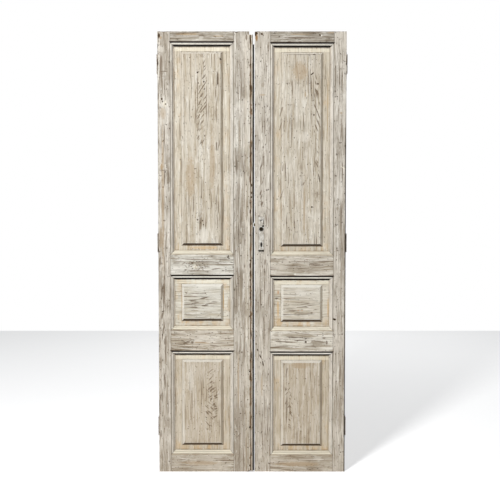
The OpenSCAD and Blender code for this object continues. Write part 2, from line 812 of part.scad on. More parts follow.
// Turning piece that takes the spindle and works the latch
module follower() {
    color(BRASS)
        difference() {
            union() {
                y_rod(spindle_x, spindle_z, hub_r, part_y0, part_y1);
                y_rod(spindle_x, spindle_z, journal_r, -case_t / 2, case_t / 2);
                block([spindle_x - 1.3, part_y0, spindle_z], [spindle_x + 1.3, part_y1, spindle_z + arm_r]);
                y_rod(spindle_x, spindle_z + arm_r, arm_tip_r, part_y0, part_y1);
            }
            block([spindle_x - spindle_w / 2, -case_t, spindle_z - spindle_w / 2],
                  [spindle_x + spindle_w / 2, case_t, spindle_z + spindle_w / 2]);
        }
}

// Latch with a sloped nose, and a notch in its tail for the follower's arm
module latch_bolt() {
    nose = lock_x - latch_out;
    color(BRASS)
        difference() {
            block([nose, part_y0, latch_z], [latch_tail, part_y1, latch_z + latch_h]);
            block([spindle_x - arm_tip_r - slide_clear, part_y0 - over, latch_z - over],
                  [spindle_x + arm_tip_r + slide_clear, part_y1 + over,
                   spindle_z + arm_r + arm_tip_r + slide_clear]);
            translate([0, 0, latch_z - over]) linear_extrude(latch_h + 2 * over)
                polygon([[nose - over, part_y1 - 4], [nose, part_y1 - 4], [nose + latch_out - 1, part_y1],
                         [nose + latch_out - 1, part_y1 + over], [nose - over, part_y1 + over]]);
        }
}

// Folded strip that pushes the latch out
module latch_spring() {
    folds = 6;
    x0 = latch_tail + slide_clear;
    x1 = case_x1 - wall - slide_clear - 1;
    mid = latch_z + latch_h / 2;
    function fold(i) = [x0 + (x1 - x0) * i / folds, mid + (i % 2 == 0 ? -5 : 5)];
    color(METAL) slab_y(part_y0 + 1, part_y1 - 1)
        for (i = [0:folds - 1])
            polygon([fold(i), fold(i + 1), fold(i + 1) + [1, 0], fold(i) + [1, 0]]);
}

// Bolt thrown by the key, which runs in the notch below it
module dead_bolt() {
    slot_r = stump_r + slide_clear;
    color(BRASS)
        difference() {
            block([lock_x, part_y0, bolt_z], [bolt_tail, part_y1, bolt_z + bolt_h]);
            y_rod(stump_x, stump_z, slot_r, -case_t, case_t);
            y_rod(stump_x + bolt_throw, stump_z, slot_r, -case_t, case_t);
            block([stump_x, -case_t, stump_z - slot_r], [stump_x + bolt_throw, case_t, stump_z + slot_r]);
            y_rod(spindle_x + 4, bolt_z - 2, 8, -case_t, case_t);
        }
}

// Bowed strip that rests on the dead bolt and holds it by friction
module dead_bolt_spring() {
    x = spindle_x - 5;
    z = bolt_z + bolt_h + slide_clear;
    color(METAL)
        intersection() {
            difference() {
                y_rod(x, z + spring_r, spring_r, part_y0 + 1, part_y1 - 1);
                y_rod(x, z + spring_r, spring_r - spring_t, -case_t, case_t);
            }
            block([x - spring_half, -case_t, z - over], [x + spring_half, case_t, z + 6]);
        }
}

// ---------- Nodes ----------

hinge_stile(LEFT);  // left_hinge_stile
left_meeting_stile();
rail(0, LEFT);  // left_bottom_rail
rail(1, LEFT);  // left_lower_rail
rail(2, LEFT);  // left_lock_rail
rail(3, LEFT);  // left_top_rail
panel(0, LEFT);  // left_bottom_panel
panel(1, LEFT);  // left_middle_panel
panel(2, LEFT);  // left_top_panel
wedges(LEFT);  // left_wedges
hinge_stile(RIGHT);  // right_hinge_stile
right_meeting_stile();
rail(0, RIGHT);  // right_bottom_rail
rail(1, RIGHT);  // right_lower_rail
rail(2, RIGHT);  // right_lock_rail
rail(3, RIGHT);  // right_top_rail
panel(0, RIGHT);  // right_bottom_panel
panel(1, RIGHT);  // right_middle_panel
panel(2, RIGHT);  // right_top_panel
wedges(RIGHT);  // right_wedges
color(WOOD) difference() {
        cover_strip();
        nail_places() strip_nail(metal_clear);
    }
color(METAL) nail_places() strip_nail(0);  // cover_strip_nails
strike_plate();
color(METAL) strike_screw_places() plate_wood_screw(plate_screw_l);  // strike_screws
for (side = [LEFT, RIGHT], h = [0:2]) {
    leaf_plate(side, h);
    jamb_plate(side, h);
}
hinge_pins(LEFT);  // left_hinge_pins
hinge_pins(RIGHT);  // right_hinge_pins
hinge_screws(LEFT);  // left_hinge_screws
hinge_screws(RIGHT);  // right_hinge_screws
color(WOOD) lock_plate(true);  // front_lock_plate
color(WOOD) mirror([0, 1, 0]) lock_plate(false);  // back_lock_plate
lock_plate_screws();
forend();
color(METAL) forend_screw_places() plate_wood_screw(plate_screw_l);  // forend_screws
lock_case();
lock_cap();
lock_cap_screw();
latch_bolt();
latch_spring();
follower();
dead_bolt();
dead_bolt_spring();
flush_plate(1);  // top_flush_plate
flush_plate(0);  // bottom_flush_plate
color(METAL) for (end = [0, 1]) place_bolt(end) flush_plate_screw_places() plate_wood_screw(flush_screw_l);  // flush_plate_screws
flush_bolt(1);  // top_flush_bolt
flush_bolt(0);  // bottom_flush_bolt
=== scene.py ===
import math
import random

import bpy
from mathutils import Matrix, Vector


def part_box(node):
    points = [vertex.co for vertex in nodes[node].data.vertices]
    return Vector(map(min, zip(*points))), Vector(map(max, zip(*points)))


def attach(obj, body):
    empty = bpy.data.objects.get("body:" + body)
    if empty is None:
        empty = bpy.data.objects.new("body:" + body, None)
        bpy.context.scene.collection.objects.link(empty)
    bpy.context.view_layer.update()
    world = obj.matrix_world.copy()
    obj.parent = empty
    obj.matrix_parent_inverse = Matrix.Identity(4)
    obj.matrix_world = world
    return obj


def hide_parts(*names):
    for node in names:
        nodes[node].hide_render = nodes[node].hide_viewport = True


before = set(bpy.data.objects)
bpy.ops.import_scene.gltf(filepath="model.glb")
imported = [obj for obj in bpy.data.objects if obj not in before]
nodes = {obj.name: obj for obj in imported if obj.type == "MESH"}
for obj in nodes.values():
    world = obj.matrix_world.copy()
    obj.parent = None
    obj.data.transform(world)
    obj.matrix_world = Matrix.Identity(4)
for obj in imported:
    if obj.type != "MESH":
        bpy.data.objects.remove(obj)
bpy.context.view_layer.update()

# ---------- Sizes taken from the doors, in metres ----------

PANEL_TONGUE = 0.009        # how far a panel reaches into its groove
MOULD_WIDTH = 0.022         # moulding on the edges of the framing
SIDE_MARGIN = 0.037         # flat margin of a panel at its sides
END_MARGIN = 0.026          # and at its ends
SLOPE = 0.013               # bevel between the margin and the raised field
FACE_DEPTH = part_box("left_hinge_stile")[1].y
LEAF_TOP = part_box("left_hinge_stile")[1].z
OUTER_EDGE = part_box("right_hinge_stile")[1].x
INNER_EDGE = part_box("right_meeting_stile")[0].x
LIP_REACH = 0.0063          # low lip along the cover strip
GROOVE_INSET = 0.0120       # middle of the strip's groove, inwards from that lip
KEY_RISE = 0.028            # keyhole above the foot of the lock plate
KNOB_RISE = 0.115           # knob hole above the foot of the lock plate
# Sizes of the black disc and card of painted shade set in the knob hole and keyhole, so that the holes look
# dark
KNOB_SHADE_DISC_RADIUS = 0.0101
KEY_SHADE_CARD_WIDTH = 0.0092
KEY_SHADE_CARD_HEIGHT = 0.0236
SHADE_CARD_DEPTH = 0.0095         # where the black discs of painted shade in the holes lie, behind the middle of the leaf
SHADE_CARD_THICKNESS = 0.0016
PAINT_RELIEF = 0.0013       # height of the brushed grain
FINE_ANGLE = math.radians(17)
SIDES = ("left", "right")
STILES = ("hinge", "meeting")
ROWS = ("bottom", "middle", "top")
RAILS = ("bottom", "lower", "lock", "top")


def opening(side, row):
    """Low and high corner of the hole in the framing that a panel fills, as x and z."""
    low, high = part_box(f"{side}_{row}_panel")
    t = PANEL_TONGUE
    return (low.x + t, low.z + t), (high.x - t, high.z - t)


# ---------- Colours ----------

def tint(red, green, blue):
    """A paint colour as it looks, in parts of 255, turned to linear light."""
    def linear(part):
        share = part / 255
        return share / 12.92 if share <= 0.04045 else ((share + 0.055) / 1.055) ** 2.4
    return (linear(red), linear(green), linear(blue), 1.0)


CHALK = tint(226, 222, 212)
CREAM = tint(236, 228, 206)
DRIFTWOOD = tint(146, 134, 116)
TAN = tint(164, 140, 108)
OCHRE = tint(196, 158, 102)
RESIN = tint(178, 112, 40)
UMBER = tint(96, 76, 54)
PEAT = tint(62, 48, 34)
PITCH = tint(38, 30, 24)
BARE_PINE = tint(150, 116, 76)
SOOT = tint(24, 20, 17)

# Wash, thin wash and open grain on each kind of piece
STILE_TONES = (tint(208, 201, 189), tint(172, 163, 149), tint(140, 129, 113))
RAIL_TONES = (tint(208, 200, 186), tint(174, 164, 147), tint(138, 124, 104))
PANEL_TONES = (tint(207, 199, 184), tint(190, 178, 157), tint(158, 142, 118))
STRIP_TONES = (tint(222, 214, 200), tint(190, 180, 162), tint(150, 134, 112))


# ---------- Shader sums ----------

class Flow:
    """One value or colour in a finish, which can be used in sums."""

    def __init__(self, finish, socket):
        self.finish = finish
        self.socket = socket

    def sum(self, operation, first, second=0.0, clamp=False):
        settings = {"operation": operation, "use_clamp": clamp}
        return self.finish.add("ShaderNodeMath", settings, {0: first, 1: second})

    def __add__(self, other):
        return self.sum("ADD", self, other)

    def __radd__(self, other):
        return self.sum("ADD", other, self)

    def __sub__(self, other):
        return self.sum("SUBTRACT", self, other)

    def __rsub__(self, other):
        return self.sum("SUBTRACT", other, self)

    def __mul__(self, other):
        return self.sum("MULTIPLY", self, other)

    def __rmul__(self, other):
        return self.sum("MULTIPLY", other, self)

    def __abs__(self):
        return self.sum("ABSOLUTE", self)


class Finish:
    """A material, or the air of the studio, that is built up from nodes."""

    def __init__(self, name, air=None):
        self.material = air or bpy.data.materials.new(name)
        self.material.use_nodes = True
        self.tree = self.material.node_tree
        self.tree.nodes.clear()
        self.parts = {}

    @property
    def place(self):
        """Where a point lies on the doors."""
        if "place" not in self.parts:
            self.parts["place"] = self.add("ShaderNodeTexCoord", out="Object")
        return self.parts["place"]

    def add(self, kind, settings=None, sockets=None, out=0):
        node = self.tree.nodes.new(kind)
        for key, value in (settings or {}).items():
            setattr(node, key, value)
        for key, value in (sockets or {}).items():
            socket = node.inputs[key] if isinstance(key, int) else self.named(node.inputs, key)
            if isinstance(value, Flow):
                self.tree.links.new(value.socket, socket)
            else:
                socket.default_value = value
        if not node.outputs:
            return None
        found = node.outputs[out] if isinstance(out, int) else self.named(node.outputs, out)
        return Flow(self, found)

    def named(self, sockets, key):
        return next(s for s in sockets if key in (s.identifier, s.name))

    def axis(self, letter):
        """The distance along one axis of the doors."""
        if letter not in self.parts:
            self.parts[letter] = self.add("ShaderNodeSeparateXYZ", None, {0: self.place}, letter.upper())
        return self.parts[letter]

    def facing(self, letter):
        """How far a face looks along one axis."""
        key = "facing" + letter
        if key not in self.parts:
            normal = self.add("ShaderNodeNewGeometry", out="Normal")
            self.parts[key] = self.add("ShaderNodeSeparateXYZ", None, {0: normal}, letter.upper())
        return self.parts[key]

    def greater(self, first, second):
        return self.add("ShaderNodeMath", {"operation": "MAXIMUM"}, {0: first, 1: second})

    def lesser(self, first, second):
        return self.add("ShaderNodeMath", {"operation": "MINIMUM"}, {0: first, 1: second})

    def ramp(self, value, start, end, low=0.0, high=1.0):
        """Runs smoothly from low at start to high at end."""
        sockets = {"Value": value, "From Min": start, "From Max": end, "To Min": low, "To Max": high}
        return self.add("ShaderNodeMapRange", {"interpolation_type": "SMOOTHSTEP"}, sockets)

    def mapped(self, move, scale=(1, 1, 1), source=None):
        """The place on the doors, moved and then scaled."""
        sockets = {"Vector": source or self.place, "Location": move, "Scale": scale}
        return self.add("ShaderNodeMapping", {"vector_type": "POINT"}, sockets)

    def cloud(self, where, scale, detail=2.0, rough=0.5, twist=0.0):
        """Soft noise from 0 to 1, with features about 1 / scale metres across."""
        sockets = {"Vector": where, "Scale": scale, "Detail": detail, "Roughness": rough,
                   "Distortion": twist}
        return self.add("ShaderNodeTexNoise", None, sockets)

    def blend(self, share, below, above):
        """Colour above laid over colour below by a share from 0 to 1."""
        settings = {"data_type": "RGBA", "blend_type": "MIX", "clamp_factor": True}
        sockets = {"Factor_Float": share, "A_Color": below, "B_Color": above}
        return self.add("ShaderNodeMix", settings, sockets, "Result_Color")

    def spot(self, x, z, wide, high, turn=0.0, ragged=0.5):
        """An oval patch on both faces, 1 in its middle and 0 outside, with a ragged edge."""
        sockets = {"Vector": self.place, "Location": (x, 0, z),
                   "Rotation": (0, -math.radians(turn), 0), "Scale": (wide, 1000, high)}
        where = self.add("ShaderNodeMapping", {"vector_type": "TEXTURE"}, sockets)
        reach = self.add("ShaderNodeVectorMath", {"operation": "LENGTH"}, {0: where}, "Value")
        if "ragged" not in self.parts:
            self.parts["ragged"] = self.cloud(self.place, 110.0, 2.0, 0.6) - 0.5
        return self.ramp(reach + self.parts["ragged"] * (2 * ragged), 1.15, 0.65)

    def surface(self, colour, roughness, height=None, relief=0.001, metallic=0.0, glow=0.0):
        sockets = {"Base Color": colour, "Roughness": roughness, "Metallic": metallic}
        if glow:
            sockets.update({"Emission Color": (1, 1, 1, 1), "Emission Strength": glow})
        if height is not None:
            bump = {"Strength": 1.0, "Distance": relief, "Height": height}
            sockets["Normal"] = self.add("ShaderNodeBump", None, bump)
        sockets["Specular IOR Level"] = 0.5 if metallic else 0.15
        shader = self.add("ShaderNodeBsdfPrincipled", None, sockets)
        self.add("ShaderNodeOutputMaterial", None, {"Surface": shader})
        return self.material


# ---------- Limed wood ----------

# How grain is drawn out along its piece
ALONG_Z = (1.0, 1.0, 0.045)
ALONG_X = (0.045, 1.0, 1.0)

# Where the timber is stained, bruised, knotty or split, and one painted shadow: paint, strength, middle x
# and z, half width and height in metres, and how far it is turned in degrees
MARKS = {
    "left_hinge_stile": (
        (TAN, 0.50, -0.484, 1.491, 0.0082, 0.4352, 0),
        (CREAM, 0.40, -0.471, 2.013, 0.0110, 0.0190, 0),
        (UMBER, 0.90, -0.487, 2.039, 0.0049, 0.0060, 0),
        (UMBER, 0.90, -0.467, 2.012, 0.0054, 0.0038, 0),
        (PITCH, 0.80, -0.483, 2.026, 0.0033, 0.0044, 0),
        (TAN, 0.40, -0.482, 1.964, 0.0163, 0.0326, 0),
        (UMBER, 0.55, -0.474, 2.187, 0.0218, 0.0025, 0),
        (UMBER, 0.55, -0.480, 1.656, 0.0218, 0.0030, 0),
        (TAN, 0.80, -0.491, 1.674, 0.0071, 0.0163, 0),
        (UMBER, 0.80, -0.501, 2.378, 0.0071, 0.0131, 0),
        (TAN, 0.70, -0.492, 2.367, 0.0065, 0.0082, 0),
        (PITCH, 0.90, -0.509, 2.322, 0.0033, 0.0120, 0),
        (PITCH, 0.90, -0.510, 2.234, 0.0044, 0.0245, 0),
        (UMBER, 0.70, -0.501, 1.160, 0.0044, 0.0299, 0),
        (UMBER, 0.60, -0.482, 0.969, 0.0044, 0.0816, 0),
        (TAN, 0.50, -0.497, 1.285, 0.0065, 0.0653, 0),
        (UMBER, 0.60, -0.501, 0.414, 0.0038, 0.0163, 0),
        (UMBER, 0.60, -0.500, 0.209, 0.0044, 0.0218, 0),
    ),
    "left_meeting_stile": (
        (DRIFTWOOD, 0.60, -0.063, 1.269, 0.0076, 0.0163, 0),
        (UMBER, 0.70, -0.039, 1.135, 0.0038, 0.0109, 0),
        (DRIFTWOOD, 0.70, -0.062, 0.991, 0.0060, 0.1088, 0),
        (DRIFTWOOD, 0.60, -0.069, 1.814, 0.0065, 0.1414, 0),
        (DRIFTWOOD, 0.50, -0.052, 1.464, 0.0076, 0.1306, 0),
        (TAN, 0.50, -0.075, 0.508, 0.0054, 0.1632, 0),
        (UMBER, 0.70, -0.056, 0.662, 0.0054, 0.0054, 0),
    ),
    "left_top_panel": (
        (PITCH, 0.95, -0.294, 2.183, 0.0049, 0.0049, 0),
        (PITCH, 0.95, -0.260, 2.133, 0.0044, 0.0044, 0),
        (PITCH, 0.95, -0.290, 2.126, 0.0033, 0.0033, 0),
        (PITCH, 0.95, -0.258, 2.093, 0.0030, 0.0030, 0),
        (PITCH, 0.95, -0.169, 2.254, 0.0054, 0.0054, 0),
        (TAN, 0.80, -0.169, 2.238, 0.0044, 0.0076, 0),
        (UMBER, 0.80, -0.188, 2.151, 0.0024, 0.0435, 0),
        (UMBER, 0.60, -0.196, 2.071, 0.0024, 0.0272, 0),
        (UMBER, 0.80, -0.296, 1.388, 0.0044, 0.0049, 0),
        (UMBER, 0.80, -0.282, 1.371, 0.0038, 0.0033, 0),
        (UMBER, 0.80, -0.269, 1.383, 0.0027, 0.0049, 0),
        (UMBER, 0.80, -0.264, 1.361, 0.0038, 0.0033, 0),
        (UMBER, 0.70, -0.182, 1.453, 0.0027, 0.0326, 0),
        (CHALK, 0.50, -0.264, 1.301, 0.0272, 0.0544, 0),
        (OCHRE, 0.50, -0.258, 1.235, 0.0816, 0.0087, 0),
        (TAN, 0.50, -0.334, 1.610, 0.0272, 0.1197, 0),
        (TAN, 0.40, -0.215, 1.707, 0.0163, 0.1632, 0),
    ),
    "cover_strip": (
        # A painted shadow under the foot of the strip.
        (PITCH, 0.95, -0.011, 0.002, 0.0180, 0.0090, 0),
        (UMBER, 0.70, -0.030, 2.366, 0.0060, 0.0180, 0),
    ),
    "left_top_rail": (
        (TAN, 0.70, -0.344, 2.385, 0.0707, 0.0049, 0),
        (CHALK, 0.30, -0.274, 2.367, 0.0141, 0.0082, 0),
        (UMBER, 0.60, -0.274, 2.378, 0.0163, 0.0027, 0),
        (TAN, 0.50, -0.183, 2.375, 0.0326, 0.0044, 0),
    ),
    "left_lock_rail": (
        (CREAM, 0.40, -0.309, 1.131, 0.0120, 0.0110, 0),
        (UMBER, 0.45, -0.370, 1.152, 0.0141, 0.0033, 35),
        (UMBER, 0.45, -0.359, 1.133, 0.0131, 0.0033, -50),
        (UMBER, 0.45, -0.364, 1.111, 0.0120, 0.0038, 30),
        (UMBER, 0.45, -0.334, 1.158, 0.0109, 0.0033, -20),
        (UMBER, 0.45, -0.283, 1.135, 0.0163, 0.0033, -60),
        (UMBER, 0.45, -0.291, 1.116, 0.0141, 0.0038, 45),
        (UMBER, 0.45, -0.270, 1.119, 0.0131, 0.0033, -50),
        (UMBER, 0.45, -0.342, 1.136, 0.0109, 0.0033, 60),
        (UMBER, 0.45, -0.323, 1.109, 0.0163, 0.0027, 8),
        (UMBER, 0.55, -0.255, 1.158, 0.0517, 0.0033, 0),
        (UMBER, 0.55, -0.247, 1.132, 0.0185, 0.0033, -6),
        (UMBER, 0.60, -0.197, 1.120, 0.0272, 0.0033, 8),
        (UMBER, 0.60, -0.413, 1.151, 0.0196, 0.0027, 0),
        (PITCH, 0.95, -0.130, 1.187, 0.0033, 0.0098, -15),
        (PITCH, 0.95, -0.125, 1.178, 0.0054, 0.0027, 0),
        (UMBER, 0.70, -0.104, 1.197, 0.0038, 0.0038, 0),
    ),
    "left_middle_panel": (
        (UMBER, 0.60, -0.381, 1.037, 0.0354, 0.0020, -2),
        (UMBER, 0.70, -0.360, 0.988, 0.0087, 0.0044, -30),
        (UMBER, 0.60, -0.318, 0.984, 0.0326, 0.0022, 5),
        (UMBER, 0.70, -0.255, 0.986, 0.0049, 0.0038, 0),
        (DRIFTWOOD, 0.70, -0.280, 0.942, 0.0490, 0.0027, 2),
        (UMBER, 0.70, -0.252, 0.924, 0.0065, 0.0022, 35),
        (UMBER, 0.70, -0.242, 0.923, 0.0065, 0.0022, -35),
        (DRIFTWOOD, 0.70, -0.313, 0.890, 0.0218, 0.0033, 0),
        (OCHRE, 0.70, -0.384, 0.947, 0.0038, 0.0653, 0),
        (OCHRE, 0.85, -0.157, 0.947, 0.0038, 0.0653, 0),
        (TAN, 0.60, -0.127, 0.920, 0.0082, 0.0490, 0),
    ),
    "left_lower_rail": (
        (UMBER, 0.50, -0.378, 0.725, 0.0141, 0.0038, -25),
        (UMBER, 0.50, -0.351, 0.715, 0.0141, 0.0038, 20),
        (UMBER, 0.45, -0.362, 0.709, 0.0174, 0.0027, -18),
        (UMBER, 0.60, -0.329, 0.722, 0.0087, 0.0027, 30),
        (TAN, 0.80, -0.275, 0.715, 0.0408, 0.0038, -4),
        (UMBER, 0.60, -0.204, 0.698, 0.0354, 0.0033, -9),
        (DRIFTWOOD, 0.50, -0.280, 0.761, 0.0762, 0.0044, -3),
    ),
    "left_bottom_panel": (
        (OCHRE, 0.75, -0.291, 0.653, 0.0762, 0.0082, 0),
        (CHALK, 0.40, -0.335, 0.508, 0.0163, 0.0762, 0),
    ),
    "left_bottom_rail": (
        (TAN, 0.50, -0.280, 0.048, 0.1197, 0.0120, 0),
        (DRIFTWOOD, 0.50, -0.335, 0.076, 0.0544, 0.0033, 0),
    ),
    "right_meeting_stile": (
        (PITCH, 0.95, 0.025, 2.389, 0.0054, 0.0060, 0),
        (BARE_PINE, 0.95, 0.024, 2.368, 0.0075, 0.0200, 0),
        (PITCH, 0.85, 0.019, 2.382, 0.0040, 0.0100, 0),
        (UMBER, 0.75, 0.053, 2.386, 0.0071, 0.0060, 0),
        (TAN, 0.50, 0.055, 2.061, 0.0163, 0.0065, 0),
        (DRIFTWOOD, 0.50, 0.058, 2.114, 0.0109, 0.0131, 0),
        (UMBER, 0.55, 0.060, 1.712, 0.0027, 0.0326, 0),
        (UMBER, 0.60, 0.101, 1.566, 0.0033, 0.0299, 0),
        (DRIFTWOOD, 0.60, 0.049, 1.593, 0.0033, 0.0326, -8),
        (DRIFTWOOD, 0.50, 0.087, 1.448, 0.0131, 0.0033, -45),
        (UMBER, 0.70, 0.071, 1.157, 0.0033, 0.0163, 0),
        (UMBER, 0.60, 0.067, 1.116, 0.0038, 0.0054, 0),
        (UMBER, 0.85, 0.031, 0.675, 0.0033, 0.0087, 20),
        (UMBER, 0.85, 0.046, 0.639, 0.0033, 0.0141, 25),
        (UMBER, 0.80, 0.060, 0.602, 0.0027, 0.0174, 15),
        (TAN, 0.50, 0.054, 0.480, 0.0054, 0.0653, 0),
    ),
    "right_top_rail": (
        (UMBER, 0.65, 0.259, 2.365, 0.0870, 0.0044, 0),
        (TAN, 0.60, 0.253, 2.385, 0.0653, 0.0033, 0),
        (UMBER, 0.80, 0.366, 2.380, 0.0071, 0.0044, -40),
        (CHALK, 0.80, 0.373, 2.377, 0.0060, 0.0044, 0),
        (TAN, 0.60, 0.425, 2.393, 0.0218, 0.0038, 0),
    ),
    "right_top_panel": (
        (UMBER, 0.70, 0.278, 2.279, 0.1034, 0.0024, 0),
        (UMBER, 0.80, 0.336, 2.279, 0.0087, 0.0033, 0),
        (UMBER, 0.80, 0.326, 2.176, 0.0109, 0.0033, 38),
        (UMBER, 0.80, 0.357, 2.122, 0.0049, 0.0054, 0),
        (UMBER, 0.60, 0.147, 2.122, 0.0076, 0.0022, 30),
        (UMBER, 0.60, 0.350, 2.061, 0.0022, 0.0196, 15),
        (TAN, 0.70, 0.288, 2.066, 0.0038, 0.0185, 0),
        (UMBER, 0.55, 0.216, 1.873, 0.0044, 0.0870, 0),
        (TAN, 0.70, 0.410, 1.986, 0.0049, 0.1850, 0),
        (UMBER, 0.75, 0.336, 1.955, 0.0038, 0.0049, 0),
        (CHALK, 0.30, 0.283, 1.836, 0.0326, 0.0272, 0),
        (UMBER, 0.70, 0.353, 1.685, 0.0027, 0.0185, 25),
        (UMBER, 0.80, 0.365, 1.615, 0.0024, 0.0272, 10),
        (UMBER, 0.70, 0.355, 1.526, 0.0027, 0.0190, 0),
        (PITCH, 0.80, 0.326, 1.457, 0.0044, 0.0044, 0),
        (DRIFTWOOD, 0.80, 0.206, 1.480, 0.0038, 0.0816, 0),
        (TAN, 0.70, 0.160, 1.437, 0.0033, 0.0762, 0),
        (TAN, 0.50, 0.284, 1.437, 0.0049, 0.1632, 0),
        (TAN, 0.50, 0.260, 2.189, 0.0435, 0.0544, 0),
        (UMBER, 0.60, 0.281, 1.583, 0.0038, 0.0087, -20),
    ),
    "right_hinge_stile": (
        (UMBER, 0.55, 0.486, 2.135, 0.0033, 0.0707, 0),
        (CREAM, 0.90, 0.494, 1.669, 0.0131, 0.0027, -38),
        (UMBER, 0.90, 0.450, 0.843, 0.0103, 0.0060, -20),
        (DRIFTWOOD, 0.60, 0.454, 1.588, 0.0065, 0.0163, 0),
        (UMBER, 0.70, 0.465, 1.220, 0.0044, 0.0038, 0),
        (TAN, 0.60, 0.482, 1.964, 0.0087, 0.0054, 0),
        (UMBER, 0.50, 0.484, 0.552, 0.0038, 0.0435, 0),
        (DRIFTWOOD, 0.60, 0.464, 1.448, 0.0082, 0.0109, 0),
        (DRIFTWOOD, 0.50, 0.481, 1.328, 0.0054, 0.0762, 0),
        (DRIFTWOOD, 0.50, 0.465, 0.397, 0.0054, 0.1197, 0),
    ),
    "right_lock_rail": (
        (UMBER, 0.45, 0.264, 1.160, 0.0734, 0.0022, 1),
        (UMBER, 0.60, 0.221, 1.136, 0.0381, 0.0027, -3),
        (UMBER, 0.40, 0.270, 1.124, 0.0517, 0.0022, 0),
        (DRIFTWOOD, 0.60, 0.363, 1.127, 0.0326, 0.0065, 0),
        (UMBER, 0.55, 0.210, 1.084, 0.0240, 0.0035, 3),
        (CHALK, 0.80, 0.235, 1.091, 0.0065, 0.0049, 0),
    ),
    "right_middle_panel": (
        (RESIN, 0.65, 0.143, 0.989, 0.0049, 0.0120, 0),
        (UMBER, 0.80, 0.136, 0.958, 0.0120, 0.0027, 0),
        (OCHRE, 0.70, 0.143, 0.898, 0.0065, 0.0490, 0),
        (OCHRE, 0.90, 0.417, 0.903, 0.0033, 0.0544, 0),
        (RESIN, 0.35, 0.253, 0.892, 0.0049, 0.0044, -35),
        (RESIN, 0.35, 0.274, 0.890, 0.0060, 0.0033, 0),
        (DRIFTWOOD, 0.70, 0.271, 0.873, 0.0435, 0.0071, 0),
        (DRIFTWOOD, 0.60, 0.222, 0.978, 0.0326, 0.0033, 0),
        (DRIFTWOOD, 0.70, 0.265, 0.935, 0.0490, 0.0033, 0),
        (UMBER, 0.50, 0.326, 0.878, 0.0065, 0.0054, 0),
    ),
    "right_lower_rail": (
        (UMBER, 0.65, 0.259, 0.743, 0.0762, 0.0027, -4),
        (UMBER, 0.60, 0.182, 0.720, 0.0544, 0.0030, -4),
        (UMBER, 0.55, 0.168, 0.696, 0.0435, 0.0027, 1),
        (UMBER, 0.85, 0.294, 0.719, 0.0065, 0.0054, 0),
        (DRIFTWOOD, 0.75, 0.359, 0.715, 0.0435, 0.0131, 0),
        (UMBER, 0.70, 0.409, 0.717, 0.0060, 0.0120, 10),
        (UMBER, 0.60, 0.392, 0.741, 0.0087, 0.0049, 0),
        (UMBER, 0.50, 0.316, 0.695, 0.0381, 0.0033, 3),
    ),
    "right_bottom_panel": (
        (TAN, 0.50, 0.267, 0.590, 0.0544, 0.0218, 0),
        (UMBER, 0.50, 0.191, 0.552, 0.0027, 0.0272, -12),
    ),
    "right_bottom_rail": (
        (TAN, 0.60, 0.253, 0.042, 0.1306, 0.0131, 0),
        (DRIFTWOOD, 0.50, 0.297, 0.072, 0.0653, 0.0033, 0),
    ),
}


def drawn_out(grain, share):
    """A grain with its long way drawn out by a share."""
    return [share * g if g < 1 else g for g in grain]


def evened(grain, share):
    """A grain brought nearer to an even pattern by a share."""
    return [share + (1 - share) * g for g in grain]


def wood_ground(f, grain, seed, tones, streaks):
    """Old whitewash rubbed into open grain.

    Returns its colour, the height of the grain and how thin the wash is.
    """
    light, middle, dark = tones
    bend = f.cloud(f.mapped((seed, 0, seed * 2)), 2.6, 1.0)
    shift = (bend - 0.5) * 0.04
    across = f.add("ShaderNodeCombineXYZ", None, {"X": shift, "Z": shift})
    bent = f.add("ShaderNodeVectorMath", {"operation": "ADD"}, {0: f.place, 1: across}, "Vector")
    lie = f.mapped((seed, seed * 0.7, seed * 1.3), grain, bent)
    wide = f.cloud(lie, 30.0, 3.0, 0.55)
    narrow = f.cloud(lie, 125.0, 3.0, 0.65)
    hair = f.cloud(f.mapped((seed, 0, 9), drawn_out(grain, 0.4), bent), 190.0, 1.0, 0.5)
    fine = f.cloud(lie, 480.0, 2.0, 0.6)
    patchy = f.cloud(f.mapped((seed, 5, seed)), 5.5, 3.0, 0.6, 0.6)
    thin = f.ramp(wide * 0.35 + narrow * 0.65 + (patchy - 0.5) * 0.45, 0.42, 0.62)
    colour = f.blend(thin * streaks, light, middle)
    colour = f.blend(f.ramp(narrow, 0.56, 0.66) * (0.75 * streaks), colour, dark)
    colour = f.blend(f.ramp(narrow, 0.44, 0.34) * 0.6, colour, CHALK)
    colour = f.blend(f.ramp(hair, 0.60, 0.68) * f.ramp(patchy, 0.35, 0.6) * 0.75, colour, UMBER)
    scuffs = f.cloud(f.mapped((seed + 8, 3, seed), evened(grain, 0.35)), 21.0, 4.0, 0.7)
    colour = f.blend(f.ramp(scuffs, 0.56, 0.64) * (0.5 * streaks), colour, dark)
    colour = f.blend(f.ramp(scuffs, 0.42, 0.36) * 0.4, colour, CHALK)
    colour = f.blend(f.ramp(fine, 0.50, 0.70) * 0.4, colour, UMBER)
    pits = f.cloud(f.mapped((seed + 3, 1, 4), evened(grain, 0.5)), 150.0, 1.0, 0.5)
    specks = f.ramp(pits, 0.69, 0.73)
    colour = f.blend(specks * 0.85, colour, PEAT)
    colour = f.blend(f.ramp(f.axis("z"), 1.7, 0.0) * 0.16, colour, TAN)
    height = fine * 0.4 + narrow * 1.0 + wide * 0.5 - specks * 1.2
    return colour, height, thin


def splits(f, grain, seed, amount):
    """Fine open cracks that run with the grain."""
    lie = f.mapped((seed * 3, 2, seed), drawn_out(grain, 0.6))
    thread = f.cloud(lie, 170.0, 1.0, 0.5)
    zone = f.ramp(f.cloud(f.mapped((seed, 9, seed)), 6.0, 1.0), 0.42, 0.60)
    return f.ramp(thread, 0.655, 0.70) * zone * amount


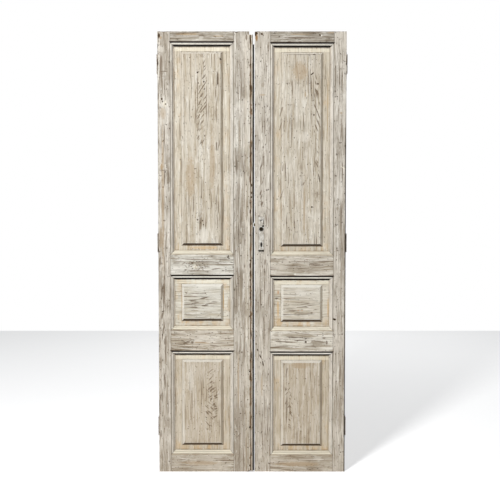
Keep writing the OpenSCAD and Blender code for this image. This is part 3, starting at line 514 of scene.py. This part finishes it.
def frame_sides(f, side):
    """How a point of the framing lies to the openings of its leaf.

    Returns how far it lies outside the nearest opening, how much it is on a moulding above an
    opening, on one below and on a mitre, and how far it is past the sides of the openings.
    """
    nearest = above = below = mitre = None
    for row in ROWS:
        low, high = opening(side, row)
        half_z = (high[1] - low[1]) / 2
        out_x = abs(f.axis("x") - (low[0] + high[0]) / 2) - (high[0] - low[0]) / 2
        rise = f.axis("z") - (low[1] + high[1]) / 2
        up = rise - half_z
        down = 0 - rise - half_z
        reach = f.greater(out_x, f.greater(up, down))
        past = f.greater(out_x, 0)
        over = f.ramp(up - past, -0.0006, 0.0006) * f.ramp(up, 0.033, 0.030)
        under = f.ramp(down - past, -0.0006, 0.0006) * f.ramp(down, 0.033, 0.030)
        off_mitre = abs(f.greater(up, down) - out_x)
        turn = f.ramp(off_mitre, 0.0026, 0.0008) * f.ramp(reach, 0.026, 0.024)
        nearest = reach if nearest is None else f.lesser(nearest, reach)
        above = over if above is None else above + over
        below = under if below is None else below + under
        mitre = turn if mitre is None else mitre + turn
    return nearest, above, below, mitre * f.ramp(nearest, 0.0, 0.001), out_x


def arris_wear(f, seed):
    """Paint rubbed off the outer corners of a leaf."""
    to_face = FACE_DEPTH - abs(f.axis("y"))
    span = abs(f.axis("x"))
    to_edge = f.lesser(OUTER_EDGE - span, span - INNER_EDGE)
    to_end = f.lesser(LEAF_TOP - f.axis("z"), f.axis("z"))
    nearest = f.lesser(to_edge, to_end) + to_face
    rub = f.cloud(f.mapped((seed, 1, 2), (1, 1, 0.35)), 70.0, 3.0, 0.65)
    return f.ramp(nearest - (rub - 0.55) * 0.018, 0.0020, 0.0)


def marked(f, colour, name):
    """Lays the stains, bruises, knots and splits of one piece, and the painted shadow at the foot of the
    cover strip, over its colour.

    Returns the colour, and where the dark ones hollow the wood.
    """
    hollow = None
    for paint, strength, x, z, wide, high, turn in MARKS.get(name, ()):
        mark = f.spot(x, z, wide, high, turn) * strength
        colour = f.blend(mark, colour, paint)
        if paint in (UMBER, PITCH):
            hollow = mark if hollow is None else f.greater(hollow, mark)
    return colour, hollow


def ripples(f, x, z, wide, high, turn, long, thick):
    """Short raised checks in flat-sawn timber, all leaning one way within an oval patch."""
    sockets = {"Vector": f.place, "Rotation": (0, -math.radians(turn), 0),
               "Scale": (long, 1.0, thick)}
    lie = f.add("ShaderNodeMapping", {"vector_type": "TEXTURE"}, sockets)
    strokes = f.ramp(f.cloud(lie, 1.0, 0.0, 0.5), 0.595, 0.665)
    return strokes * f.spot(x, z, wide, high, 0.0, 0.12)


# Where checks show: middle x and z of the patch, its half width and height, how the checks lean
# in degrees, and how long and how thick they are
RIPPLES = {
    "left_top_panel": (
        (-0.268, 2.08, 0.026, 0.22, 56, 0.044, 0.0085),
        (-0.278, 1.92, 0.024, 0.20, 62, 0.044, 0.0085),
        (-0.185, 1.86, 0.012, 0.34, 84, 0.09, 0.0090),
    ),
    "left_bottom_panel": (
        (-0.222, 0.46, 0.024, 0.13, 42, 0.030, 0.0075),
        (-0.236, 0.34, 0.026, 0.13, 132, 0.030, 0.0075),
        (-0.205, 0.40, 0.018, 0.16, 24, 0.026, 0.0070),
    ),
    "right_bottom_panel": (
        (0.198, 0.43, 0.018, 0.14, 48, 0.028, 0.0072),
        (0.206, 0.34, 0.020, 0.11, 128, 0.028, 0.0072),
    ),
    "right_top_panel": (
        (0.352, 1.95, 0.018, 0.30, 112, 0.052, 0.0090),
        (0.160, 1.75, 0.012, 0.40, 74, 0.060, 0.0090),
    ),
    "right_meeting_stile": ((0.050, 1.56, 0.014, 0.16, 72, 0.040, 0.0085),),
    "left_hinge_stile": ((-0.485, 0.75, 0.014, 0.5, 84, 0.07, 0.0085),),
    "left_lock_rail": (
        (-0.325, 1.136, 0.036, 0.022, 34, 0.022, 0.0085),
        (-0.280, 1.130, 0.034, 0.022, -48, 0.022, 0.0085),
        (-0.250, 1.155, 0.090, 0.012, 3, 0.09, 0.0085),
    ),
    "left_lower_rail": (
        (-0.350, 0.715, 0.040, 0.014, 18, 0.036, 0.0085),
        (-0.250, 0.712, 0.060, 0.012, -7, 0.08, 0.0085),
    ),
    "right_lock_rail": ((0.26, 1.145, 0.10, 0.016, 2, 0.10, 0.0085),),
    "right_lower_rail": (
        (0.355, 0.712, 0.050, 0.020, -9, 0.050, 0.0090),
        (0.25, 0.735, 0.09, 0.014, -4, 0.11, 0.0085),
    ),
    "left_middle_panel": ((-0.28, 0.94, 0.09, 0.05, 3, 0.06, 0.0070),),
    "right_middle_panel": ((0.28, 0.90, 0.08, 0.04, 2, 0.06, 0.0070),),
}

# How light each piece of timber is beside the others
SHADES = {
    "cover_strip": 0.82,
    "left_hinge_stile": 0.93, "left_meeting_stile": 0.85,
    "left_top_rail": 0.70, "left_lock_rail": 1.02, "left_lower_rail": 0.95, "left_bottom_rail": 0.84,
    "left_top_panel": 0.93, "left_middle_panel": 1.04, "left_bottom_panel": 0.94,
    "right_hinge_stile": 0.96, "right_meeting_stile": 0.96,
    "right_top_rail": 0.66, "right_lock_rail": 0.90, "right_lower_rail": 1.12, "right_bottom_rail": 0.90,
    "right_top_panel": 0.92, "right_bottom_panel": 0.92,
}

# How much bluer the wash is on a few pieces
COOLNESS = {
    "left_lock_rail": 1.12, "left_middle_panel": 1.12,
    "right_middle_panel": 1.05, "right_lower_rail": 1.08,
}


def timber_finish(name, grain, seed, tones, streaks):
    """The wash over one piece of timber with its cracks, checks and marks.

    Returns the finish, its colour, its height and how thin the wash is.
    """
    f = Finish("limed_" + name)
    shade = SHADES.get(name, 1.0)
    cool = COOLNESS.get(name, 1.0)
    tones = [(red * shade, green * shade * cool ** 0.5, blue * shade * cool, 1.0)
             for red, green, blue, _ in tones]
    colour, height, thin = wood_ground(f, grain, seed, tones, streaks)
    crack = splits(f, grain, seed, 0.8)
    for patch in RIPPLES.get(name, ()):
        crack = f.greater(crack, ripples(f, *patch) * 0.75)
    colour = f.blend(crack, colour, UMBER)
    colour, hollow = marked(f, colour, name)
    height = height - crack * 1.4
    if hollow is not None:
        height = height - hollow * 1.5
    return f, colour, height, thin


def wash_roughness(f, thin):
    """Duller where the wash is thick."""
    return f.ramp(thin, 0, 1, 0.78, 0.62)


def framing(name, side, grain, seed, tones, streaks=1.0, joint=0.0):
    """The finish of a stile or rail, with the dirt, painted shade and painted highlights of its mouldings.
    """
    f, colour, height, thin = timber_finish(name, grain, seed, tones, streaks)
    reach, above, below, mitre, out_x = frame_sides(f, side)
    # Patchy noise that varies the dirt and the painted shade in the creases of the mouldings.
    dust_and_shade = f.cloud(f.mapped((seed, 4, 1)), 24.0, 3.0, 0.6)
    grime_and_shade = f.ramp(dust_and_shade, 0.25, 0.6)
    moulded = f.ramp(reach, MOULD_WIDTH + 0.001, MOULD_WIDTH - 0.001)
    # Painted highlights: every moulding lighter, those above the openings more, and most of all the ledges
    # below the openings, which face up to the light.
    colour = f.blend(moulded * 0.35, colour, CHALK)
    colour = f.blend(moulded * above * 0.45, colour, CHALK)
    colour = f.blend(moulded * below * 0.65, colour, CREAM)
    shelf = f.ramp(reach, 0.0245, 0.0225) * f.ramp(reach, 0.0195, 0.0215)
    colour = f.blend(below * shelf * grime_and_shade * 0.6, colour, TAN)
    past_edge = reach - MOULD_WIDTH
    # Painted shadow: a black band along the quirk and lower edge of each rail above an opening.
    drop = f.ramp(past_edge, -0.0058, -0.0036) * f.ramp(past_edge, 0.0052, 0.0034)
    colour = f.blend(drop * above, colour, PITCH)
    # Dirt and painted shade in the quirk of the mouldings beside the openings.
    quirk = f.ramp(past_edge, -0.0042, -0.0022) * f.ramp(past_edge, 0.001, 0.0)
    beside = (1 - above) * (1 - below)
    colour = f.blend(quirk * beside * (0.35 + grime_and_shade * 0.4), colour, DRIFTWOOD)
    # Painted shadow: black at the foot of the moulding above each opening, where it meets the panel.
    foot = f.ramp(reach, 0.0100, 0.0080)
    colour = f.blend(foot * above, colour, SOOT)
    colour = f.blend(mitre * (0.50 + above * 0.45), colour, PEAT)
    # Painted shade at the foot of the mouldings that face right, away from the light.
    to_right = f.ramp(f.facing("x"), 0.05, 0.4)
    colour = f.blend(f.ramp(reach, 0.0070, 0.0045) * to_right * beside * 0.9, colour, UMBER)
    # Dirt and painted shade at the foot of the mouldings, where they meet the panels, except above the
    # openings.
    colour = f.blend(f.ramp(reach, 0.004, 0.002) * (0.2 + grime_and_shade * 0.3) * (1 - above), colour, TAN)
    if joint:
        seam = f.ramp(abs(out_x - MOULD_WIDTH), 0.0034, 0.0014) * f.ramp(reach, 0.0200, 0.0220)
        colour = f.blend(seam * (0.45 + grime_and_shade * 0.55) * joint, colour, PEAT)
    worn = arris_wear(f, seed)
    colour = f.blend(worn * 0.85, colour, UMBER)
    if name == "right_meeting_stile":
        # Painted shade: black in the recess and holes behind and just below the lock plate.
        low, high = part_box("front_lock_plate")
        in_width = f.lesser(f.axis("x") - low.x, high.x - f.axis("x"))
        in_height = f.lesser(f.axis("z") - low.z + 0.009, high.z - f.axis("z"))
        inside = f.ramp(FACE_DEPTH - abs(f.axis("y")), 0.0005, 0.0010)
        behind_plate = f.ramp(f.lesser(in_width, in_height), -0.0012, -0.0006)
        colour = f.blend(inside * behind_plate, colour, SOOT)
    if name == "right_hinge_stile":
        # Painted shadow: a dark band down the outer edge of the leaf, below about two metres.
        rim = f.ramp(OUTER_EDGE - f.axis("x"), 0.0068, 0.0046) * f.ramp(f.axis("z"), 2.2, 1.7)
        colour = f.blend(rim * 0.9, colour, PITCH)
    return f.surface(colour, wash_roughness(f, thin), height - worn * 0.6, PAINT_RELIEF)


# How strong the painted highlight is on the upper and left slopes and the crest, how stained the margin is
# and how warm the field is, row by row
PANEL_LOOKS = {"top": (0.25, 0.22, 0.02), "middle": (0.85, 0.40, 0.0), "bottom": (0.60, 0.32, 0.12)}


def panelling(name, side, row, grain, seed, tones, streaks):
    """The finish of a raised panel, with its stained margin, dirt and painted shade along its edges,
    painted shade on its lower and right slopes and painted highlights on its upper and left ones.
    """
    bright, stained, warm = PANEL_LOOKS[row]
    f, colour, height, thin = timber_finish(name, grain, seed, tones, streaks)
    low, high = opening(side, row)
    span_x = abs(f.axis("x") - (low[0] + high[0]) / 2)
    rise = f.axis("z") - (low[1] + high[1]) / 2
    half_x = (high[0] - low[0]) / 2
    half_z = (high[1] - low[1]) / 2
    span_z = abs(rise)
    edge = f.greater(span_x - half_x, span_z - half_z)
    foot = f.greater(span_x - (half_x - SIDE_MARGIN), span_z - (half_z - END_MARGIN))
    top = f.greater(span_x - (half_x - SIDE_MARGIN - SLOPE), span_z - (half_z - END_MARGIN - SLOPE))
    dust_and_shade = f.cloud(f.mapped((seed, 4, 1), evened(ALONG_Z, 0.3)), 34.0, 3.0, 0.65)
    blot = f.cloud(f.mapped((seed, 2, 6)), 9.0, 3.0, 0.6)
    margin = f.ramp(foot, -0.001, 0.001)
    colour = f.blend(warm, colour, TAN) if warm else colour
    colour = f.blend(margin * 0.12, colour, CREAM)
    stains = f.ramp(dust_and_shade, 0.47, 0.62) * f.ramp(blot, 0.42, 0.62)
    colour = f.blend(margin * stains * stained, colour, OCHRE)
    at_foot = f.ramp(rise, END_MARGIN * 2 - half_z, END_MARGIN - half_z)
    colour = f.blend(margin * at_foot * f.ramp(dust_and_shade, 0.35, 0.65) * stained, colour, OCHRE)
    # Painted highlight: a light band on the margin just under the shadow of the rail.
    under_rail = f.ramp(rise, half_z - 0.026, half_z - 0.021) * f.ramp(rise, half_z - 0.004, half_z - 0.008)
    colour = f.blend(margin * under_rail * 0.45, colour, CREAM)
    # Dirt and painted shade along the edges of the panel, under the moulding.
    rim = f.ramp(edge, -0.006, -0.0005)
    colour = f.blend(rim * f.ramp(dust_and_shade, 0.3, 0.65) * 0.6, colour, UMBER)
    foot_line = f.ramp(abs(foot), 0.0030, 0.0006)
    # Which way a slope faces, for painted shade on the lower and right slopes and painted highlights on the
    # upper and left ones.
    down = f.ramp(f.facing("z"), 0.05, -0.35)
    left = f.ramp(f.facing("x"), 0.05, 0.35)
    lit = f.ramp(f.facing("z"), 0.05, 0.35)
    to_left = f.ramp(f.facing("x"), -0.05, -0.35)
    # Dirt and painted shade along the foot of the slopes.
    colour = f.blend(foot_line * (0.3 + f.ramp(dust_and_shade, 0.4, 0.6) * 0.4), colour, UMBER)
    sloping = f.ramp(foot, 0.0005, -0.001) * f.ramp(top, -0.001, 0.0)
    # Painted shade on the lower slopes and, lighter, on the right ones; painted highlight on the upper and
    # left ones.
    colour = f.blend(sloping * down * 0.95, colour, PEAT)
    colour = f.blend(sloping * left * 0.55, colour, DRIFTWOOD)
    colour = f.blend(sloping * (lit + to_left * 0.6) * bright, colour, CHALK)
    # Painted highlight along the crest of the raised field.
    crest = f.ramp(abs(top), 0.0022, 0.0004)
    colour = f.blend(crest * 0.3 * bright, colour, CHALK)
    return f.surface(colour, wash_roughness(f, thin), height, PAINT_RELIEF)


def strip_wood(name, seed, tones):
    """The finish of the cover strip, bare along its groove, with painted shade deep in its groove and black
    painted shade on its lip.
    """
    f, colour, height, thin = timber_finish(name, ALONG_Z, seed, tones, 0.8)
    low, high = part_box(name)
    lip_start = high.x - LIP_REACH
    chips = f.cloud(f.mapped((seed, 0, 0), (1, 1, 0.3)), 60.0, 3.0, 0.7)
    by_groove = abs(f.axis("x") - (lip_start - GROOVE_INSET))
    bare = f.ramp(by_groove - (chips - 0.5) * 0.030, 0.0045, 0.0020)
    colour = f.blend(bare * 0.85, colour, BARE_PINE)
    colour = f.blend(f.ramp(chips, 0.55, 0.62) * f.ramp(by_groove, 0.0065, 0.0045), colour, PITCH)
    # Painted shade deep in the groove.
    deep = f.ramp(f.axis("y"), low.y + 0.002, low.y + 0.004) * f.ramp(by_groove, 0.0045, 0.0030)
    colour = f.blend(deep * 0.7, colour, UMBER)
    # Painted shade: the low lip beside the strip black.
    lip = f.ramp(f.axis("x"), lip_start - 0.0034, lip_start - 0.0020)
    colour = f.blend(lip * 0.99, colour, SOOT)
    return f.surface(colour, wash_roughness(f, thin), height - bare * 0.8, PAINT_RELIEF)


def bare_wood(name, seed, first, second):
    """Unpainted wood in two tones."""
    f = Finish(name)
    lie = f.mapped((seed, 0, seed), (0.3, 1.0, 1.0))
    rings = f.cloud(lie, 160.0, 3.0, 0.6)
    colour = f.blend(f.ramp(rings, 0.35, 0.7), first, second)
    return f.surface(colour, 0.8, rings, 0.0006)


def old_metal(name, body, tarnish, worn, metallic, rough_low, rough_high):
    """Dull metal with tarnish in blots and brighter rubbed places."""
    f = Finish(name)
    blots = f.cloud(f.place, 90.0, 4.0, 0.65)
    fine = f.cloud(f.place, 600.0, 2.0, 0.5)
    rub = f.cloud(f.mapped((3, 1, 7)), 35.0, 2.0, 0.5)
    colour = f.blend(f.ramp(blots, 0.42, 0.62), body, tarnish)
    colour = f.blend(f.ramp(rub, 0.58, 0.70) * 0.6, colour, worn)
    rough = f.ramp(blots, 0.3, 0.7, rough_low, rough_high)
    shine = f.ramp(blots, 0.66, 0.45) * metallic
    return f.surface(colour, rough, blots + fine * 0.5, 0.0003, shine)


# Dirt and painted shade about and in the holes of the front lock plate, and the hooked split at its top:
# middle x and z, half width and height, and turn in degrees
PLATE_GRIME_AND_SHADE = (
    (0.0505, 1.3365, 0.0110, 0.0110, 0),
    (0.0603, 1.3535, 0.0048, 0.0050, 0),
    (0.0505, 1.2520, 0.0050, 0.0135, 0),
)
PLATE_SPLITS = (
    (0.0520, 1.3860, 0.0100, 0.0020, 6),
    (0.0630, 1.3745, 0.0018, 0.0120, 0),
    (0.0480, 1.3815, 0.0050, 0.0016, 40),
)


def plate_paint(name):
    """Whitewash over a steel plate, thin on its raised edges, with painted shade on its sides and in its
    holes, and dirt with painted shade about the holes.
    """
    f = Finish(name)
    blots = f.cloud(f.place, 70.0, 4.0, 0.6)
    streaks = f.cloud(f.mapped((1, 2, 3), (1, 1, 0.4)), 190.0, 3.0, 0.7)
    colour = f.blend(f.ramp(blots, 0.42, 0.58), tint(206, 203, 196), tint(174, 168, 158))
    colour = f.blend(f.ramp(streaks, 0.54, 0.62) * 0.7, colour, DRIFTWOOD)
    low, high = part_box("front_lock_plate")
    middle = (low + high) / 2
    half = (high - low) / 2
    to_side = half.x - abs(f.axis("x") - middle.x)
    to_end = half.z - abs(f.axis("z") - middle.z)
    rim = f.ramp(f.lesser(to_side, to_end), 0.0024, 0.0008)
    colour = f.blend(rim * f.ramp(streaks, 0.40, 0.55) * 0.8, colour, PEAT)
    # Painted shade: the sides of the plate and the walls of its holes black.
    colour = f.blend(f.ramp(abs(f.facing("y")), 0.8, 0.4), colour, SOOT)
    # Black on the splits, and dirt with painted shade about and in the holes.
    for x, z, wide, high, turn in PLATE_SPLITS + PLATE_GRIME_AND_SHADE:
        colour = f.blend(f.spot(x, z, wide * 1.15, high * 1.15, turn, 0.15), colour, SOOT)
    return f.surface(colour, 0.6, blots - rim, 0.0004)


# ---------- Finishes on the doors' own pieces ----------

def dress(name, material):
    """Gives one of the doors' own pieces its finish."""
    mesh = nodes[name].data
    mesh.materials.clear()
    mesh.materials.append(material)


# How streaky the wash is on a few stiles
STREAKS = {"right_meeting_stile": 0.7, "right_hinge_stile": 0.85, "left_hinge_stile": 0.9}
SEED_STEP = 1.7
seed = 1.0
for side in SIDES:
    for stile in STILES:
        seed += SEED_STEP
        name = f"{side}_{stile}_stile"
        dress(name, framing(name, side, ALONG_Z, seed, STILE_TONES, STREAKS.get(name, 1.0)))
    for rail in RAILS:
        seed += SEED_STEP
        name = f"{side}_{rail}_rail"
        joint = 1.0 if rail == "top" else 0.6
        dress(name, framing(name, side, ALONG_X, seed, RAIL_TONES, 1.0, joint))
    for row in ROWS:
        seed += SEED_STEP
        name = f"{side}_{row}_panel"
        grain = ALONG_X if row == "middle" else ALONG_Z
        dress(name, panelling(name, side, row, grain, seed, PANEL_TONES, 0.65))
dress("cover_strip", strip_wood("cover_strip", 4.4, STRIP_TONES))

wedge_wood = bare_wood("wedge_wood", 2.0, BARE_PINE, UMBER)
iron = old_metal("hinge_iron_old", tint(186, 179, 168), tint(122, 98, 78), tint(206, 200, 190),
                 0.2, 0.55, 0.8)
steel = old_metal("lock_steel_dull", tint(58, 54, 50), tint(34, 27, 21), tint(86, 82, 76),
                  0.6, 0.5, 0.75)
case_steel = old_metal("case_steel_dark", tint(26, 24, 22), tint(16, 13, 11), tint(40, 38, 35),
                       0.3, 0.6, 0.85)
brass = old_metal("brass_dulled", tint(128, 106, 66), tint(74, 60, 38), tint(160, 136, 88),
                  0.9, 0.4, 0.6)
nail = old_metal("nail_iron_dark", tint(120, 108, 94), tint(84, 66, 50), tint(190, 184, 172),
                 0.5, 0.5, 0.8)
painted = plate_paint("painted_plate_worn")
# A near-black finish for the discs in the lock's holes, which paint shade there.
hole_shade_finish = old_metal("painted_hole_shade", SOOT, tint(14, 12, 10), SOOT, 0.0, 0.9, 1.0)

FINISH_OF_SLOT = {
    "raw_wood": wedge_wood, "hinge_iron": iron, "lock_steel": steel, "case_steel": case_steel,
    "old_brass": brass, "nail_iron": nail, "painted_plate": painted,
}
for node_name, node in nodes.items():
    given = node.data.materials[0].name.split(".")[0] if node.data.materials else ""
    if given in FINISH_OF_SLOT:
        dress(node_name, FINISH_OF_SLOT[given])


# ---------- Chips, gouges and splits cut into the timber ----------

def deselect_all():
    if bpy.context.object and bpy.context.object.mode != "OBJECT":
        bpy.ops.object.mode_set(mode="OBJECT")
    bpy.ops.object.select_all(action="DESELECT")


def only(piece):
    """Selects one piece and nothing else."""
    deselect_all()
    bpy.context.view_layer.objects.active = piece
    piece.select_set(True)


def lumps(places, rough):
    """One mesh of ragged lumps.

    Each has its middle, its half sizes across, deep and high, and its turn in degrees.
    """
    deselect_all()
    bpy.ops.mesh.primitive_ico_sphere_add(subdivisions=1, radius=0.001)
    cutter = bpy.context.object
    bpy.ops.object.mode_set(mode="EDIT")
    bpy.ops.mesh.delete(type="VERT")
    for number, (x, y, z, wide, deep, high, turn) in enumerate(places):
        bpy.ops.mesh.select_all(action="DESELECT")
        bpy.ops.mesh.primitive_ico_sphere_add(
            subdivisions=3, radius=1.0, location=(x, y, z),
            rotation=(0, -math.radians(turn), 0), scale=(wide, deep, high))
        bpy.ops.transform.vertex_random(offset=rough * min(wide, deep, high), seed=number + 1)
    bpy.ops.object.mode_set(mode="OBJECT")
    return cutter


def chipped(name, places, body, rough=0.35):
    """The doors' own piece with ragged lumps taken out of it, shown in its place."""
    source = nodes[name]
    only(source)
    bpy.ops.object.duplicate()
    piece = bpy.context.object
    piece.name = name + "_worn"
    bpy.ops.object.mode_set(mode="EDIT")
    bpy.ops.mesh.select_all(action="SELECT")
    bpy.ops.mesh.remove_doubles(threshold=0.000002)
    bpy.ops.object.mode_set(mode="OBJECT")
    bpy.ops.mesh.customdata_custom_splitnormals_clear()
    cutter = lumps(places, rough)
    cutter.data.materials.clear()
    cutter.data.materials.append(split_wood)
    only(piece)
    modifier = piece.modifiers.new("chips", "BOOLEAN")
    modifier.operation = "DIFFERENCE"
    modifier.solver = "EXACT"
    modifier.use_self = True
    modifier.material_mode = "TRANSFER"
    modifier.object = cutter
    bpy.ops.object.modifier_apply(modifier=modifier.name)
    bpy.data.objects.remove(cutter)
    bpy.ops.object.shade_smooth_by_angle(angle=FINE_ANGLE)
    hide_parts(name)
    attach(piece, body)


def front_of(name, x, z):
    """How far back the front of a piece lies at a place."""
    struck, place, _, _ = nodes[name].ray_cast((x, -1.0, z), (0, 1, 0))
    return place.y if struck else None


def gouges(name):
    """Hollows under the darkest marks of a piece."""
    found = []
    for paint, strength, x, z, wide, high, turn in MARKS.get(name, ()):
        if paint in (UMBER, PITCH) and strength >= 0.75:
            y = front_of(name, x, z)
            if y is not None:
                deep = min(0.0035 if paint is PITCH else 0.0018, 0.9 * max(wide, high))
                found.append((x, y, z, wide * 0.85, deep, high * 0.85, turn))
    return found


def nicks(start, end, count, size, long=3.0):
    """Small bites out of an edge that runs from start to end."""
    found = []
    for step in range(count):
        share = (step + 0.2 + 0.6 * chance.random()) / count
        x, y, z = Vector(start).lerp(Vector(end), share)
        bite = size * (0.45 + 0.9 * chance.random() ** 2)
        run = bite * (1.0 + long * chance.random())
        upright = abs(end[2] - start[2]) > abs(end[0] - start[0])
        wide, high = (bite, run) if upright else (run, bite)
        found.append((x, y, z, wide, bite * 1.1, high, 8 * (chance.random() - 0.5)))
    return found


# Places along the groove of the strip where wood has broken away: x, z and half height
GROOVE_CHIPS = (
    (-0.0083, 2.356, 0.0163), (-0.0083, 2.220, 0.0054), (-0.0083, 2.095, 0.0054), (-0.0083, 1.936, 0.0060),
    (-0.0038, 1.574, 0.0082), (-0.0038, 1.533, 0.0054), (-0.0038, 1.510, 0.0060), (-0.0083, 1.478, 0.0060),
    (-0.0083, 1.432, 0.0136), (-0.0068, 1.377, 0.0280), (-0.0083, 1.304, 0.0054), (-0.0083, 1.167, 0.0054),
    (-0.0092, 1.140, 0.0140), (-0.0083, 1.094, 0.0200), (-0.0083, 1.060, 0.0050), (-0.0083, 1.022, 0.0070),
    (-0.0083, 0.963, 0.0136), (-0.0110, 0.862, 0.0054), (-0.0120, 0.559, 0.0040), (-0.0110, 0.251, 0.0054),
    (-0.0110, 0.038, 0.0054),
)

BITTEN = ("hinge_stile", "meeting_stile", "top_rail", "lock_rail", "lower_rail", "top_panel",
          "middle_panel")

split_wood = bare_wood("split_wood", 5.0, PEAT, UMBER)
chance = random.Random(11)
face = -FACE_DEPTH
top = LEAF_TOP
strip_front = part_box("cover_strip")[0].y
strip_edge = -0.037
edge_bites = {
    "left_hinge_stile":
        nicks((-OUTER_EDGE, face, 2.37), (-OUTER_EDGE, face, 0.02), 20, 0.0030)
        + nicks((-OUTER_EDGE + 0.012, face, top), (-0.455, face, top), 2, 0.0045, 1.5),
    "left_meeting_stile":
        nicks((-0.092, face, top), (-0.045, face, top), 2, 0.0050, 1.0),
    "left_top_rail":
        nicks((-0.42, face, top), (-0.12, face, top), 5, 0.0028),
    "right_hinge_stile":
        nicks((OUTER_EDGE, face, 2.37), (OUTER_EDGE, face, 0.02), 20, 0.0030)
        + nicks((0.455, face, top), (OUTER_EDGE - 0.012, face, top), 2, 0.0040, 1.5),
    "right_meeting_stile":
        nicks((INNER_EDGE, face, 2.34), (INNER_EDGE, face, 1.43), 12, 0.0030)
        + nicks((INNER_EDGE, face, 1.19), (INNER_EDGE, face, 0.02), 14, 0.0030)
        + [(INNER_EDGE + 0.004, face, top - 0.002, 0.010, 0.006, 0.012, 20)],
    "right_top_rail":
        nicks((0.13, face, top), (0.43, face, top), 5, 0.0028),
    "cover_strip":
        [(x, strip_front, z, 0.0046, 0.0050, high * 1.15, 0) for x, z, high in GROOVE_CHIPS]
        + nicks((strip_edge, strip_front, 2.37), (strip_edge, strip_front, 0.02), 16, 0.0024),
}
for side in SIDES:
    for part in BITTEN:
        name = f"{side}_{part}"
        places = gouges(name) + edge_bites.get(name, [])
        if places:
            chipped(name, places, side + "_leaf")
chipped("cover_strip", edge_bites["cover_strip"], "left_leaf")

plate_low, plate_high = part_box("front_lock_plate")
plate_splits = [(x, plate_low.y, z, wide, 0.0016, high, turn)
                for x, z, wide, high, turn in PLATE_SPLITS[:2]]
chipped("front_lock_plate", plate_splits, "right_leaf", 0.2)


# ---------- Painted shade: black discs in the holes of the lock ---

plate_middle = (plate_low.x + plate_high.x) / 2
# A black disc behind the knob hole and a black card behind the keyhole: painted shade, so the empty holes
# look dark.
deselect_all()
bpy.ops.mesh.primitive_cylinder_add(
    vertices=32, radius=KNOB_SHADE_DISC_RADIUS, depth=SHADE_CARD_THICKNESS,
    location=(plate_middle, SHADE_CARD_DEPTH, plate_low.z + KNOB_RISE), rotation=(math.radians(90), 0, 0))
knob_shade_disc = bpy.context.object
knob_shade_disc.name = "knob_hole_shade_disc"
deselect_all()
bpy.ops.mesh.primitive_cube_add(
    size=1.0, location=(plate_middle, SHADE_CARD_DEPTH, plate_low.z + KEY_RISE),
    scale=(KEY_SHADE_CARD_WIDTH, SHADE_CARD_THICKNESS, KEY_SHADE_CARD_HEIGHT))
key_shade_card = bpy.context.object
key_shade_card.name = "keyhole_shade_card"
for piece in (knob_shade_disc, key_shade_card):
    only(piece)
    bpy.ops.object.transform_apply(location=True, rotation=True, scale=True)
    piece.data.materials.append(hole_shade_finish)
    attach(piece, "right_leaf")


# ---------- Floor, light and camera ----------

deselect_all()
bpy.ops.mesh.primitive_plane_add(size=9.0, location=(0, 0.6, 0))
floor = bpy.context.object
floor.name = "studio_floor"
floor_finish = Finish("studio_floor_pale")
speck = floor_finish.cloud(floor_finish.place, 2.0, 2.0)
pale = floor_finish.blend(speck, tint(252, 252, 252), tint(254, 254, 254))
floor.data.materials.append(floor_finish.surface(pale, 0.95, glow=0.45))

world = bpy.data.worlds.new("studio_air")
bpy.context.scene.world = world
air = Finish("studio_air", world)
seen = air.add("ShaderNodeBackground", None, {"Color": (1, 1, 1, 1), "Strength": 1.0})
soft = air.add("ShaderNodeBackground", None, {"Color": (0.93, 0.96, 1.0, 1), "Strength": 0.17})
in_view = air.add("ShaderNodeLightPath", out="Is Camera Ray")
mixed = air.add("ShaderNodeMixShader", None, {0: in_view, 1: soft, 2: seen})
air.add("ShaderNodeOutputWorld", None, {"Surface": mixed})


def aim(thing, target):
    """Turns a lamp or the camera towards a place."""
    thing.rotation_euler = (Vector(target) - thing.location).to_track_quat("-Z", "Y").to_euler()


def lamp(name, place, target, size, watts):
    light = bpy.data.lights.new(name, "AREA")
    light.shape = "DISK"
    light.size = size
    light.energy = watts
    holder = bpy.data.objects.new(name, light)
    bpy.context.scene.collection.objects.link(holder)
    holder.location = place
    aim(holder, target)


lamp("key_light", (-1.82, -3.65, 4.12), (0, 0, 1.2), 0.8, 215)
lamp("fill_light", (3.5, -5.0, 1.6), (0, 0, 1.0), 3.0, 12)
lamp("back_light", (1.5, 5.0, 4.0), (0, 0, 1.2), 3.0, 70)

camera = bpy.data.cameras.new("studio_camera")
camera.sensor_width = 36.0
camera.lens = 52.9
eye = bpy.data.objects.new("studio_camera", camera)
bpy.context.scene.collection.objects.link(eye)
EYE_X = -0.011
eye.location = (EYE_X, -4.02, 1.390)
aim(eye, (EYE_X, 0.0, 1.222))
bpy.context.scene.camera = eye
bpy.context.scene.view_settings.view_transform = "Standard"
